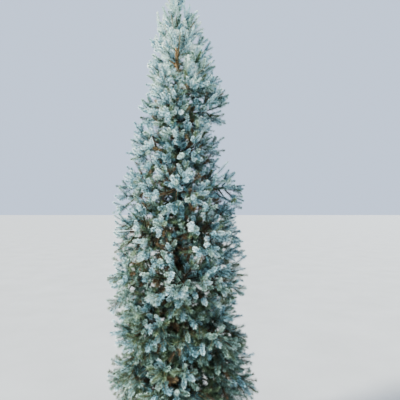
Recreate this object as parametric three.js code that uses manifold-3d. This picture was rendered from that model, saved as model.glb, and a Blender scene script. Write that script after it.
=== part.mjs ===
// A blue spruce in a black nursery pot. Millimetres, +Z up.
// The origin is the centre of the pot's flat underside. +X is the right side of the tree as seen from
// its front, and +Y points to its back. Azimuths turn from +X towards +Y.
import * as THREE from "three";
import { mergeVertices } from "three/addons/utils/BufferGeometryUtils.js";
import Module from "manifold-3d";

const wasm = await Module();
wasm.setup();

// Driving dimensions: CLEARANCE is the gap between pieces that touch
const SEED = 20;
const CLEARANCE = 0.3;
const GOLDEN_ANGLE = THREE.MathUtils.degToRad(137.5);

const POT_HEIGHT = 430;
const POT_RIM_RADIUS = 250;
const POT_BASE_RADIUS = 186;
const POT_WALL = 5;
const POT_FLOOR = 8;
const POT_SIDES = 28;
const LIP_OVERHANG = 4;
const LIP_HEIGHT = 9;
const COLLAR_HEIGHT = 46;
const COLLAR_STEP = 7;
const RING_HEIGHT = 338;
const RING_WIDTH = 14;
const RING_STEP = 5;
const EDGE_SLOPE = 3;

const SOIL_HEIGHT = 388;
const SOIL_MOUND = 10;
const SOIL_FLAT_RADIUS = 70;

const TRUNK_TOP = 2690;
const TRUNK_FOOT_RADIUS = 31;
const TRUNK_TOP_RADIUS = 7;
const ROOT_FLARE = 15;
const ROOT_FLARE_HEIGHT = 60;
const TRUNK_SWAY = 9;
const TRUNK_SWAY_TURNS = 0.8;
const TRUNK_SWAY_BACK = 0.6;
const TRUNK_SIDES = 10;
const TRUNK_STEPS = 16;

const TIP_HEIGHT = 2930;
const TIP_REACH = 30;
const LEADER_RADIUS = 5.5;
const LEADER_STEM_SHARE = 0.4;
const LEADER_SPRAY_START = 0.16;
const LEADER_SPRAY_SIZE = 0.62;
const TOP_SHOOTS = 5;
const TOP_SHOOT_LENGTH = 165;
const TOP_SHOOT_SPREAD = 0.15;
const TOP_SHOOT_LEAN = THREE.MathUtils.degToRad(32);
const TOP_SHOOT_TURN_SPREAD = 0.3;
const TOP_SHOOT_BARE_SHARE = 0.1;

// Whorls of boughs from the top down. height is the node on the trunk, turn the first bough's azimuth
// in degrees, rise the height that a bough gains from node to tip, and left and right its reach from
// the trunk's axis on those two sides. A bare whorl's boughs show as limbs before their foliage starts.
const WHORLS = [
  { height: 2530, boughs: 4, turn: 165, rise: 130, left: 105, right: 130, bare: false },
  { height: 2395, boughs: 4, turn: 8, rise: 115, left: 150, right: 205, bare: false },
  { height: 2235, boughs: 4, turn: 48, rise: 110, left: 190, right: 290, bare: false },
  { height: 2055, boughs: 4, turn: 350, rise: 100, left: 225, right: 300, bare: false },
  { height: 1850, boughs: 4, turn: 35, rise: 85, left: 280, right: 270, bare: false },
  { height: 1625, boughs: 4, turn: 355, rise: 65, left: 360, right: 380, bare: false },
  { height: 1395, boughs: 4, turn: 40, rise: 40, left: 375, right: 395, bare: true },
  { height: 1155, boughs: 4, turn: 2, rise: 10, left: 400, right: 405, bare: true },
  { height: 910, boughs: 4, turn: 40, rise: -60, left: 385, right: 410, bare: true },
  { height: 680, boughs: 4, turn: 352, rise: -130, left: 390, right: 445, bare: true },
];
const REACH_SPREAD = 0.08;
const TURN_SPREAD = THREE.MathUtils.degToRad(8);
const BOUGH_ARCH = 0.1;
const BOUGH_FOOT_SHARE = 0.38;
const BOUGH_LEAST_FOOT = 4.8;
const BOUGH_BARE_SHARE = 0.2;
const BOUGH_TIP_RADIUS = 4.6;
const BOUGH_SIDES = 6;
const BOUGH_STEPS = 3;

// Foliage: a stem on from each bough, with twigs around it. Stem and stalks are as thick as their
// needles, and each twig ends in a slim core that longer needles stand out of. A spray's size goes
// with the bough's reach.
const STEM_SHARE = 0.74;
const STEM_PIECES = 8;
const STEM_SIDES = 4;
const STEM_STEPS = 3;
const STEM_NEEDLES = 15;
const TIP_SPRAY_START = 0.68;
const TWIG_SPACING = 20;
const TWIG_SIDE_LEAN = THREE.MathUtils.degToRad(50);
const TWIG_RISE_LEAN = THREE.MathUtils.degToRad(64);
const STEEP_LEAN_CUT = 0.4;
const TWIG_SIDE_LENGTH = 0.66;
const TWIG_RISE_LENGTH = 0.42;
const TWIG_RADIUS = 5;
const TWIG_NEEDLES = 9;
const TWIG_LEAST = 30;
const TWIG_ROLL_SPREAD = 0.45;
const TWIG_BARE_SHARE = 0.2;
const SPRAY_LENGTH = 180;
const SPRAY_SHORTEST = 78;
const SPRAY_SPACING = 58;
const MIDDLE_OF_SPRAY = 0.6;
const SHRINK_STEPS = 8;
const LEAST_SPRAY_SIZE = 0.6;
const FULL_SIZE_REACH = 290;
const CORE_RADIUS = 28;
const CORE_TAPER = 2;
const CORE_SHARE = 0.72;
const TIER_LENGTH = 120;
const NEEDLE_LENGTH = 44;
const NEEDLE_LEAN = THREE.MathUtils.degToRad(48);
const KEYS_A_STEM = 40;
const SPACE_MARGIN = 1;
const LIMB_MARGIN = 3;

const COLOURS = {
  pot: { color: 0x1b1f24, roughness: 0.55, metalness: 0 },
  soil: { color: 0x4a3527, roughness: 1, metalness: 0 },
  bark: { color: 0x77624a, roughness: 0.95, metalness: 0 },
  foliage: { color: 0x9fb5b2, roughness: 0.8, metalness: 0 },
};
const MATERIALS = Object.fromEntries(
  Object.entries(COLOURS).map(([name, look]) => [name, new THREE.MeshStandardMaterial(look)]),
);

const spruce = new THREE.Group();
const up = new THREE.Vector3(0, 0, 1);

// The same number from 0 to 1 for the same whole-number keys
function chance(...keys) {
  let hash = SEED;
  for (const key of keys) {
    hash = Math.imul(hash ^ (key + 0x9e3779b9), 0x85ebca6b) >>> 0;
    hash = Math.imul(hash ^ (hash >>> 13), 0xc2b2ae35) >>> 0;
    hash = (hash ^ (hash >>> 16)) >>> 0;
  }
  return hash / 2 ** 32;
}

function spread(amount, ...keys) {
  return amount * (2 * chance(...keys) - 1);
}

function addNode(name, geometry, material) {
  const mesh = new THREE.Mesh(geometry, MATERIALS[material]);
  mesh.name = name;
  spruce.add(mesh);
}

// Solids for the boolean steps
function solidOf(geometry) {
  const bare = geometry.clone().deleteAttribute("normal").deleteAttribute("uv");
  const merged = mergeVertices(bare, 1e-4);
  return new wasm.Manifold(
    new wasm.Mesh({
      numProp: 3,
      vertProperties: new Float32Array(merged.attributes.position.array),
      triVerts: new Uint32Array(merged.index.array),
    }),
  );
}

function geometryOf(solid) {
  const { numProp, numVert, vertProperties, triVerts } = solid.getMesh();
  const points = new Float32Array(numVert * 3);
  for (let i = 0; i < numVert; i++) points.set(vertProperties.subarray(i * numProp, i * numProp + 3), i * 3);
  return new THREE.BufferGeometry()
    .setAttribute("position", new THREE.BufferAttribute(points, 3))
    .setIndex(new THREE.BufferAttribute(triVerts, 1));
}

// The largest body of a union, so that a loose scrap is dropped
function wholeBody(solids) {
  const bodies = wasm.Manifold.union(solids).decompose();
  return bodies.reduce((best, body) => (body.volume() > best.volume() ? body : best));
}

// Two directions square to a direction, the first of them level where it can be
function squareTo(direction) {
  const guide = Math.abs(direction.z) > 0.95 ? new THREE.Vector3(1, 0, 0) : up;
  const side = new THREE.Vector3().crossVectors(guide, direction).normalize();
  return [side, new THREE.Vector3().crossVectors(direction, side).normalize()];
}

// A closed limb: a cylinder bent along a curve, with its radius a function of the share of the length
function limb(curve, from, to, radiusAt, sides, steps) {
  const geometry = new THREE.CylinderGeometry(1, 1, 1, sides, steps);
  const position = geometry.attributes.position;
  for (let i = 0; i < position.count; i++) {
    const share = THREE.MathUtils.lerp(from, to, position.getY(i) + 0.5);
    const [side, rise] = squareTo(curve.getTangent(share));
    const radius = radiusAt(share);
    const point = curve
      .getPoint(share)
      .addScaledVector(side, position.getX(i) * radius)
      .addScaledVector(rise, -position.getZ(i) * radius);
    position.setXYZ(i, point.x, point.y, point.z);
  }
  return geometry;
}

class TrunkLine extends THREE.Curve {
  getPoint(share) {
    const sway = TRUNK_SWAY * Math.sin(share * 2 * Math.PI * TRUNK_SWAY_TURNS) * share;
    const height = THREE.MathUtils.lerp(SOIL_HEIGHT + CLEARANCE, TRUNK_TOP, share);
    return new THREE.Vector3(sway, -sway * TRUNK_SWAY_BACK, height);
  }
}
const trunkLine = new TrunkLine();

function trunkShare(height) {
  return (height - SOIL_HEIGHT - CLEARANCE) / (TRUNK_TOP - SOIL_HEIGHT - CLEARANCE);
}

function trunkRadius(share) {
  const taper = THREE.MathUtils.lerp(TRUNK_FOOT_RADIUS, TRUNK_TOP_RADIUS, share);
  const height = share * (TRUNK_TOP - SOIL_HEIGHT);
  return taper + ROOT_FLARE * Math.exp(-height / ROOT_FLARE_HEIGHT);
}

function trunkGeometry(extra) {
  return limb(trunkLine, 0, 1, (share) => trunkRadius(share) + extra, TRUNK_SIDES, TRUNK_STEPS);
}

// Pot and soil
function wallRadius(height) {
  const underCollar = POT_RIM_RADIUS - COLLAR_STEP - LIP_OVERHANG;
  return THREE.MathUtils.lerp(POT_BASE_RADIUS, underCollar, height / POT_HEIGHT);
}

function turned(points, sides) {
  const profile = points.map(([radius, height]) => new THREE.Vector2(radius, height));
  return new THREE.LatheGeometry(profile, sides).rotateX(Math.PI / 2);
}

function pot() {
  const collarFoot = POT_HEIGHT - COLLAR_HEIGHT;
  const ringTop = RING_HEIGHT + RING_WIDTH;
  const outside = [
    [0, 0],
    [POT_BASE_RADIUS, 0],
    [wallRadius(RING_HEIGHT), RING_HEIGHT],
    [wallRadius(RING_HEIGHT) + RING_STEP, RING_HEIGHT + EDGE_SLOPE],
    [wallRadius(ringTop) + RING_STEP, ringTop - EDGE_SLOPE],
    [wallRadius(ringTop), ringTop],
    [wallRadius(collarFoot), collarFoot],
    [wallRadius(collarFoot) + COLLAR_STEP, collarFoot + EDGE_SLOPE],
    [POT_RIM_RADIUS - LIP_OVERHANG, POT_HEIGHT - LIP_HEIGHT],
    [POT_RIM_RADIUS, POT_HEIGHT - LIP_HEIGHT + EDGE_SLOPE],
    [POT_RIM_RADIUS, POT_HEIGHT - EDGE_SLOPE],
    [POT_RIM_RADIUS - EDGE_SLOPE, POT_HEIGHT],
  ];
  const inside = [
    [wallRadius(POT_HEIGHT) - POT_WALL, POT_HEIGHT],
    [wallRadius(POT_FLOOR) - POT_WALL, POT_FLOOR],
    [0, POT_FLOOR],
  ];
  return turned([...outside, ...inside], POT_SIDES);
}

function soil() {
  const fit = POT_WALL + CLEARANCE;
  const edge = SOIL_HEIGHT - SOIL_MOUND;
  const bottom = POT_FLOOR + CLEARANCE;
  return turned(
    [
      [0, bottom],
      [wallRadius(bottom) - fit, bottom],
      [wallRadius(edge) - fit, edge],
      [SOIL_FLAT_RADIUS, SOIL_HEIGHT],
      [0, SOIL_HEIGHT],
    ],
    POT_SIDES,
  );
}

// A bough's centre line: a bow from the trunk's axis to the tip, arched on low boughs and cupped on high ones
function boughLine(whorl, index) {
  const { height, boughs, turn, rise, left, right } = WHORLS[whorl];
  const azimuth =
    THREE.MathUtils.degToRad(turn) + (index * 2 * Math.PI) / boughs + spread(TURN_SPREAD, whorl, index, 1);
  const outward = new THREE.Vector3(Math.cos(azimuth), Math.sin(azimuth), 0);
  const even = (right + left) / 2 + ((right - left) / 2) * outward.x;
  const reach = even * (1 + spread(REACH_SPREAD, whorl, index, 2) * Math.abs(outward.y));
  const foot = trunkLine.getPoint(trunkShare(height));
  const tip = new THREE.Vector3(outward.x * reach, outward.y * reach, height + rise);
  const arch = (reach - 2 * rise) * BOUGH_ARCH;
  const bow = foot.clone().lerp(tip, 0.5).addScaledVector(up, arch);
  const curve = new THREE.QuadraticBezierCurve3(foot, bow, tip);
  return { curve, reach, steepness: Math.max(0, rise / reach) };
}

// Every stem of the crown, and the space that belongs to each: the points nearer to it than to any other
const boughs = WHORLS.flatMap((whorl, w) =>
  Array.from({ length: whorl.boughs }, (_, b) => ({
    ...boughLine(w, b),
    whorl: w,
    index: b,
    label: `${w + 1}${"abcd"[b]}`,
    bare: whorl.bare ? BOUGH_BARE_SHARE : 0,
    footRadius: Math.max(BOUGH_LEAST_FOOT, BOUGH_FOOT_SHARE * trunkRadius(trunkShare(whorl.height))),
    size: THREE.MathUtils.clamp((whorl.left + whorl.right) / 2 / FULL_SIZE_REACH, LEAST_SPRAY_SIZE, 1),
  })),
);
const leaderFoot = trunkLine.getPoint(1).addScaledVector(up, CLEARANCE);
const leader = {
  curve: new THREE.LineCurve3(leaderFoot, new THREE.Vector3(leaderFoot.x, leaderFoot.y, TIP_HEIGHT)),
  bare: 0,
};
const stems = [...boughs, leader].map((stem) => {
  const line = stem.curve.getPoints(STEM_PIECES);
  const limbLine = [0, 0.5, 1].map((share) => stem.curve.getPoint(share * stem.bare));
  return Object.assign(stem, { line, limbLine });
});

function distanceToLine(point, line) {
  let least = Infinity;
  const closest = new THREE.Vector3();
  for (let i = 1; i < line.length; i++) {
    new THREE.Line3(line[i - 1], line[i]).closestPointToPoint(point, true, closest);
    least = Math.min(least, closest.distanceTo(point));
  }
  return least;
}

function inOwnSpace(stem, point) {
  const own = distanceToLine(point, stem.line);
  return stems.every((other) => other === stem || distanceToLine(point, other.line) > own + 2 * SPACE_MARGIN);
}

function clearOfTrunk(point) {
  const share = trunkShare(point.z);
  if (share > 1) return true;
  const axis = trunkLine.getPoint(share);
  return Math.hypot(point.x - axis.x, point.y - axis.y) > trunkRadius(share) + LIMB_MARGIN;
}

function clearOfPot(point) {
  return point.z > POT_HEIGHT + LIMB_MARGIN;
}

function clearOfOwnLimb(stem, point) {
  return !stem.bare || distanceToLine(point, stem.limbLine) > stem.footRadius + LIMB_MARGIN;
}

// The crown's reach at a height and azimuth, between the reaches of the whorls' tips
const tips = WHORLS.map(({ height, rise, left, right }) => ({ height: height + rise, left, right }));
tips.unshift({ height: TIP_HEIGHT, left: TIP_REACH, right: TIP_REACH });
tips.push({ ...tips.at(-1), height: POT_HEIGHT });

function crownReach(height, azimuth) {
  const below = tips.findIndex((tip) => tip.height < height);
  if (below < 1) return 0;
  const [high, low] = [tips[below - 1], tips[below]];
  const share = (high.height - height) / (high.height - low.height);
  const left = THREE.MathUtils.lerp(high.left, low.left, share);
  const right = THREE.MathUtils.lerp(high.right, low.right, share);
  return (right + left) / 2 + ((right - left) / 2) * Math.cos(azimuth);
}

function inCrown(point) {
  return Math.hypot(point.x, point.y) <= crownReach(point.z, Math.atan2(point.y, point.x));
}

// Whether a spray stands apart from those that its mass already has
function apart(placed, spray) {
  return placed.every((other) =>
    [MIDDLE_OF_SPRAY, 1].every(
      (share) => distanceToLine(sprayPoint(spray, share), sprayLine(other)) > SPRAY_SPACING * spray.size,
    ),
  );
}

function sprayPoint({ start, end, bare }, share) {
  return start.clone().lerp(end, THREE.MathUtils.lerp(bare, 1, share));
}

function sprayLine(spray) {
  return [sprayPoint(spray, 0), spray.end];
}

// Whether every corner of a shoot keeps to its stem's space
function fits(stem, geometry, end) {
  const position = mergeVertices(geometry, 1e-3).attributes.position;
  const corner = (_, i) => new THREE.Vector3().fromBufferAttribute(position, i);
  const corners = Array.from({ length: position.count }, corner);
  const free = (point) => clearOfTrunk(point) && clearOfPot(point) && clearOfOwnLimb(stem, point);
  return inCrown(end) && corners.every((point) => free(point) && inOwnSpace(stem, point));
}

// A twig whose outer part is a slim three-sided core with a needle on each side of each tier
function shoot({ start, end, bare, roll, size }) {
  const direction = end.clone().sub(start).normalize();
  const [side, rise] = squareTo(direction);
  const length = start.distanceTo(end);
  const around = (along, radius, turn) =>
    start
      .clone()
      .addScaledVector(direction, along)
      .addScaledVector(side, radius * Math.cos(roll + (turn * 2 * Math.PI) / 3))
      .addScaledVector(rise, radius * Math.sin(roll + (turn * 2 * Math.PI) / 3));
  const stalk = length * bare;
  const core = (length - stalk) * CORE_SHARE;
  const coreRadius = CORE_RADIUS * size;
  const tiers = Math.max(1, Math.round(core / (TIER_LENGTH * size)));
  const rings = [[0, TWIG_RADIUS * size]];
  if (bare > 0) rings.push([stalk, (TWIG_RADIUS + TWIG_NEEDLES) * size]);
  const firstTier = rings.length;
  for (let tier = 1; tier <= tiers; tier++)
    rings.push([stalk + (core * tier) / tiers, coreRadius - tier * CORE_TAPER]);

  const triangles = [[2, 1, 0].map((k) => around(...rings[0], k))];
  for (let ring = 1; ring < rings.length; ring++)
    for (let k = 0; k < 3; k++) {
      const quad = [
        around(...rings[ring - 1], k),
        around(...rings[ring - 1], k + 1),
        around(...rings[ring], k + 1),
        around(...rings[ring], k),
      ];
      const middle = (rings[ring - 1][0] + rings[ring][0]) / 2;
      const needle = around(
        middle + NEEDLE_LENGTH * size * Math.cos(NEEDLE_LEAN),
        coreRadius / 2 + NEEDLE_LENGTH * size * Math.sin(NEEDLE_LEAN),
        k + 0.5,
      );
      if (ring < firstTier) triangles.push([quad[0], quad[1], quad[2]], [quad[0], quad[2], quad[3]]);
      else quad.forEach((point, i) => triangles.push([point, quad[(i + 1) % 4], needle]));
    }
  const last = rings.at(-1);
  for (let k = 0; k < 3; k++) triangles.push([around(...last, k), around(...last, k + 1), end]);
  return new THREE.BufferGeometry().setFromPoints(triangles.flat());
}

// Bough limbs and foliage masses
function boughRadius(stem, share) {
  return THREE.MathUtils.lerp(stem.footRadius, BOUGH_TIP_RADIUS, share);
}

// The bare part of a bough, from the trunk's axis to where its foliage starts
function boughLimb(stem) {
  const radiusAt = (share) => boughRadius(stem, share);
  return solidOf(limb(stem.curve, 0, stem.bare, radiusAt, BOUGH_SIDES, BOUGH_STEPS));
}

function clearShare(stem) {
  return CLEARANCE / stem.curve.getLength();
}

function twigEnd(start, tangent, lean, roll, length) {
  const [side, rise] = squareTo(tangent);
  return start
    .clone()
    .addScaledVector(tangent, length * Math.cos(lean))
    .addScaledVector(side, length * Math.sin(lean) * Math.cos(roll))
    .addScaledVector(rise, length * Math.sin(lean) * Math.sin(roll));
}

// Adds the longest twig with a spray, from a point at a lean and roll, that fits its space
function grow(stem, placed, start, tangent, lean, roll, longest, key) {
  for (let step = 0; step < SHRINK_STEPS; step++) {
    const length = THREE.MathUtils.lerp(longest, SPRAY_SHORTEST * stem.size, step / (SHRINK_STEPS - 1));
    const end = twigEnd(start, tangent, lean, roll, length);
    const bare = Math.max(TWIG_BARE_SHARE, 1 - (SPRAY_LENGTH * stem.size) / length);
    const spray = { start, end, bare, roll: 2 * Math.PI * chance(key, 9), size: stem.size };
    const geometry = shoot(spray);
    if (fits(stem, geometry, end) && apart(placed, spray)) {
      placed.push({ ...spray, solid: solidOf(geometry) });
      return;
    }
  }
}

function foliage(stem, number) {
  const first = stem.bare ? stem.bare + clearShare(stem) : 0;
  const clad = STEM_NEEDLES * stem.size;
  const cladFrom = THREE.MathUtils.lerp(first, STEM_SHARE, 1 / STEM_STEPS);
  const radiusAt = (share) => boughRadius(stem, share) + (share > cladFrom + 0.01 ? clad : 0);
  const stemLimb = solidOf(limb(stem.curve, first, STEM_SHARE, radiusAt, STEM_SIDES, STEM_STEPS));
  const [start, end] = [stem.curve.getPoint(TIP_SPRAY_START), stem.curve.getPoint(1)];
  const tip = { start, end, bare: 0, roll: 1, size: stem.size };
  const placed = [{ ...tip, solid: solidOf(shoot(tip)) }];
  const stemLength = stem.curve.getLength() * (STEM_SHARE - stem.bare);
  const twigs = Math.floor((stemLength * stem.size) / TWIG_SPACING);
  const leanShare = 1 - STEEP_LEAN_CUT * stem.steepness;
  for (let twig = 0; twig < twigs; twig++) {
    const share = THREE.MathUtils.lerp(STEM_SHARE, stem.bare, (twig + 0.5) / twigs);
    const key = number * KEYS_A_STEM + twig;
    const roll = twig * GOLDEN_ANGLE + spread(TWIG_ROLL_SPREAD, key, 3);
    const sideways = Math.abs(Math.cos(roll));
    const lean = leanShare * THREE.MathUtils.lerp(TWIG_RISE_LEAN, TWIG_SIDE_LEAN, sideways);
    const lengthShare = THREE.MathUtils.lerp(TWIG_RISE_LENGTH, TWIG_SIDE_LENGTH, sideways);
    const longest = TWIG_LEAST + stem.reach * lengthShare;
    grow(stem, placed, stem.curve.getPoint(share), stem.curve.getTangent(share), lean, roll, longest, key);
  }
  return wholeBody([stemLimb, ...placed.map((twig) => twig.solid)]);
}

function leaderFoliage() {
  const { curve } = leader;
  const size = LEADER_SPRAY_SIZE;
  const foot = curve.getPoint(LEADER_SPRAY_START);
  const parts = [
    solidOf(limb(curve, 0, LEADER_STEM_SHARE, () => LEADER_RADIUS, BOUGH_SIDES, 1)),
    solidOf(shoot({ start: foot, end: curve.getPoint(1), bare: 0, roll: 0, size })),
  ];
  for (let k = 0; k < TOP_SHOOTS; k++) {
    const turn = (k * 2 * Math.PI) / TOP_SHOOTS + spread(TOP_SHOOT_TURN_SPREAD, k, 11);
    const start = curve.getPoint(0).addScaledVector(up, LEADER_RADIUS);
    const length = TOP_SHOOT_LENGTH * (1 + spread(TOP_SHOOT_SPREAD, k, 12));
    const end = twigEnd(start, up, TOP_SHOOT_LEAN, turn, length);
    parts.push(solidOf(shoot({ start, end, bare: TOP_SHOOT_BARE_SHARE, roll: k, size })));
  }
  return wholeBody(parts);
}

// Assembly
addNode("pot", pot(), "pot");
addNode("soil", soil(), "soil");
addNode("trunk", trunkGeometry(0), "bark");
const trunkRoom = solidOf(trunkGeometry(CLEARANCE));
for (const [number, stem] of boughs.entries()) {
  const mass = foliage(stem, number);
  const whole = stem.bare ? mass : wholeBody([mass.subtract(trunkRoom)]);
  if (stem.bare) addNode(`bough_${stem.label}`, geometryOf(boughLimb(stem).subtract(trunkRoom)), "bark");
  addNode(`foliage_${stem.label}`, geometryOf(whole), "foliage");
}
addNode("foliage_leader", geometryOf(leaderFoliage()), "foliage");

export default spruce;
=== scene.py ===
# The look of a blue spruce in a black nursery pot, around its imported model.
# Blender works in metres. The growth rule works in millimetres, as the part's own sizes do, and MM
# turns its points into metres. +X is the tree's right side as seen from its front, and +Y its back.
import math
from collections import namedtuple
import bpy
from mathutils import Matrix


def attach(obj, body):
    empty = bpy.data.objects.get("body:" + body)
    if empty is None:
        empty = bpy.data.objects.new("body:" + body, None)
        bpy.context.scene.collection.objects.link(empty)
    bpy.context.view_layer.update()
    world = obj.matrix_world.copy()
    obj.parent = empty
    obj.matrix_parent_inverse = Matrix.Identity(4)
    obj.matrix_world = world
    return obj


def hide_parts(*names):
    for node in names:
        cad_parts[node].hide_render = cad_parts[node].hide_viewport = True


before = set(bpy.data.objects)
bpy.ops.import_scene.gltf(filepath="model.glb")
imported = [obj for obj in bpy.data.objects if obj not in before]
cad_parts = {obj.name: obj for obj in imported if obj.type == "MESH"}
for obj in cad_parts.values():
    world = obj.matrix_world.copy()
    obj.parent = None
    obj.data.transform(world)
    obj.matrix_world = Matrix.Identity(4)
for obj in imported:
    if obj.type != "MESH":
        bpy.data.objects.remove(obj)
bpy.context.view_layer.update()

from types import SimpleNamespace

import bpy
import numpy as np
from mathutils import Vector, noise

BODY = "root"
MM = 0.001
UP = np.array([0.0, 0.0, 1.0])

# The part's own sizes, in millimetres, as in its source
SEED = 20
CLEARANCE = 0.3
GOLDEN_ANGLE = math.radians(137.5)

POT_HEIGHT = 430
POT_RIM_RADIUS = 250
POT_BASE_RADIUS = 186
POT_WALL = 5
POT_FLOOR = 8
LIP_OVERHANG = 4
LIP_HEIGHT = 9
COLLAR_HEIGHT = 46
COLLAR_STEP = 7
RING_HEIGHT = 338
RING_WIDTH = 14
RING_STEP = 5
EDGE_SLOPE = 3

SOIL_HEIGHT = 388
SOIL_MOUND = 10
SOIL_FLAT_RADIUS = 70

TRUNK_TOP = 2690
TRUNK_FOOT_RADIUS = 31
TRUNK_TOP_RADIUS = 7
ROOT_FLARE = 15
ROOT_FLARE_HEIGHT = 60
TRUNK_SWAY = 9
TRUNK_SWAY_TURNS = 0.8
TRUNK_SWAY_BACK = 0.6

TIP_HEIGHT = 2930
TIP_REACH = 30
LEADER_RADIUS = 5.5
LEADER_SPRAY_START = 0.16
TOP_SHOOTS = 5
TOP_SHOOT_LENGTH = 165
TOP_SHOOT_SPREAD = 0.15
TOP_SHOOT_LEAN = math.radians(32)
TOP_SHOOT_TURN_SPREAD = 0.3
TOP_SHOOT_BARE_SHARE = 0.1

Whorl = namedtuple("Whorl", "height boughs turn rise left right bare")
WHORLS = [
    Whorl(height=2530, boughs=4, turn=165, rise=130, left=105, right=130, bare=False),
    Whorl(height=2395, boughs=4, turn=8, rise=115, left=150, right=205, bare=False),
    Whorl(height=2235, boughs=4, turn=48, rise=110, left=190, right=290, bare=False),
    Whorl(height=2055, boughs=4, turn=350, rise=100, left=225, right=300, bare=False),
    Whorl(height=1850, boughs=4, turn=35, rise=85, left=280, right=270, bare=False),
    Whorl(height=1625, boughs=4, turn=355, rise=65, left=360, right=380, bare=False),
    Whorl(height=1395, boughs=4, turn=40, rise=40, left=375, right=395, bare=True),
    Whorl(height=1155, boughs=4, turn=2, rise=10, left=400, right=405, bare=True),
    Whorl(height=910, boughs=4, turn=40, rise=-60, left=385, right=410, bare=True),
    Whorl(height=680, boughs=4, turn=352, rise=-130, left=390, right=445, bare=True),
]
REACH_SPREAD = 0.08
TURN_SPREAD = math.radians(8)
BOUGH_ARCH = 0.1
BOUGH_FOOT_SHARE = 0.38
BOUGH_LEAST_FOOT = 4.8
BOUGH_BARE_SHARE = 0.2
BOUGH_TIP_RADIUS = 2.2

STEM_SHARE = 0.74
STEM_PIECES = 8
TIP_SPRAY_START = 0.68
TWIG_SPACING = 20
TWIG_SIDE_LEAN = math.radians(50)
TWIG_RISE_LEAN = math.radians(64)
STEEP_LEAN_CUT = 0.4
TWIG_SIDE_LENGTH = 0.66
TWIG_RISE_LENGTH = 0.42
TWIG_RADIUS = 5
TWIG_NEEDLES = 9
TWIG_LEAST = 30
TWIG_ROLL_SPREAD = 0.45
TWIG_BARE_SHARE = 0.2
SPRAY_LENGTH = 180
SPRAY_SHORTEST = 78
SPRAY_SPACING = 58
MIDDLE_OF_SPRAY = 0.6
SHRINK_STEPS = 8
LEAST_SPRAY_SIZE = 0.6
FULL_SIZE_REACH = 290
CORE_RADIUS = 28
CORE_TAPER = 2
CORE_SHARE = 0.72
TIER_LENGTH = 120
SPRAY_NEEDLE_LENGTH = 44
SPRAY_NEEDLE_LEAN = math.radians(48)
KEYS_A_STEM = 40
SPACE_MARGIN = 1
LIMB_MARGIN = 3

# A twig's end shoot takes up a share of it, and further twigs grow from the wood behind that shoot.
# Each twig, shoot and shell has number keys of its own for its random draws
TWIG_LONGEST_END = 0.9
TWIG_LATEST_ROOM = 0.6
TWIG_WOOD_FROM = 0.3
TWIG_WOOD_LEAST_END = 0.31
WOOD_STEP = 22
BOUGH_WOOD_FROM = 0.1

# Fine twigs grow along the boughs. One may stand FINE_MIX into the next bough's space
FINE_KEYS = 5000
FINE_SPACING = 14
FINE_LAST_SHARE = 0.96
FINE_TAPER = 1.1
FINE_SHORTEST = 66
FINE_GAP = 44
FINE_MIX = 14
FINE_CHECKS = (0.55, 0.8, 1.0)

# Twigs that fill the crown grow from the nearest wood to places spread over shells inside its outline
Shell = namedtuple("Shell", "depth spacing gap kind")
SHELLS = (
    Shell(0.94, 70, 44, "finger"),
    Shell(0.8, 60, 34, "older"),
    Shell(0.64, 54, 28, "older"),
    Shell(0.48, 56, 26, "inner"),
    Shell(0.3, 52, 24, "inner"),
)
SHELL_KEYS = 20_000
KEYS_A_SHELL = 4000
KEYS_A_ROW = 60
SHELL_TOP = 2640
SHELL_FOOT = 480
SHELL_ROW_SPACING = 0.87
SHELL_TURN_SPREAD = 0.35
SHELL_RISE_SPREAD = 0.4
SHELL_DEPTH_SPREAD = 0.05
SHELL_DEEPEST = 0.99
SHELL_FINGERS_FROM = 2560
FILL_LEAST = 52
FILL_MOST = 200
FILL_LEAST_COSINE = 0.25
FILL_TURN_COST = 1.7
FILL_CHECKS = (0.6, 1.0)

# The crown draws in at hollows. Nodes in a bare one have no fingers, and twigs to a deep one end in
# older wood
HOLLOW_WIDTH = 190
HOLLOW_FROM = 0.04
HOLLOW_DEPTH = 0.58
BARE_HOLLOW = 0.09
DEEP_HOLLOW = 0.13

# The window at the front through which the trunk shows near its top. It slopes down to the front
WINDOW_HEIGHTS = (2385, 2500)
WINDOW_SLOPE = 0.4
WINDOW_MIDDLE = 4
WINDOW_HALF = 30
WINDOW_CHECKS = (0.2, 0.6, 1.0)

# Short twigs all the way up the trunk, dark with painted shade
TRUNK_KEYS = 41_000
TRUNK_TWIG_SPACING = 7
TRUNK_TWIG_LENGTHS = (70, 130)
TRUNK_TWIG_LEAST = 50
TRUNK_TWIG_FULL_REACH = 300
TRUNK_TWIG_LEAN = math.radians(62)

# The crown's edge as the tree shows it, drawn in between its tiers: height, and reach on the left and
# on the right
EDGE = [
    (2768, 88, 78), (2698, 122, 90), (2577, 130, 133), (2536, 157, 150), (2443, 160, 191),
    (2339, 168, 278), (2234, 162, 280), (2200, 180, 296), (2101, 195, 197), (2014, 203, 290),
    (1956, 255, 215), (1840, 244, 220), (1724, 330, 244), (1631, 300, 377), (1579, 267, 371),
    (1521, 330, 313), (1463, 371, 331), (1376, 360, 380), (1318, 356, 394), (1179, 394, 380),
    (1115, 389, 400), (1028, 325, 340), (958, 345, 278), (854, 371, 370), (796, 307, 429),
    (680, 365, 441), (576, 350, 441), (448, 307, 360),
]
EDGE_MARGIN = 6

# The tall fingers that stand out at the top, as the foot and the tip of each
TALL_KEYS = 55_000
TALL_FINGERS = [
    ((-108, 0, 2582), (-120, -10, 2700)),
    ((78, -20, 2500), (75, -25, 2590)),
    ((120, 10, 2500), (133, 0, 2584)),
    ((145, -20, 2405), (190, -30, 2450)),
    ((-104, -10, 2512), (-160, -20, 2538)),
    ((-130, 0, 2345), (-160, -10, 2405)),
]

# Fingers round the trunk's top, which has needles of its own
TOP_KEYS = 62_000
TOP_NEEDLES_FOOT = 2515
TOP_FINGERS = 9
TOP_FINGER_HEIGHTS = (2530, 2650)
TOP_FINGER_LENGTH = 92
TOP_FINGER_LEAN = math.radians(44)

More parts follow.
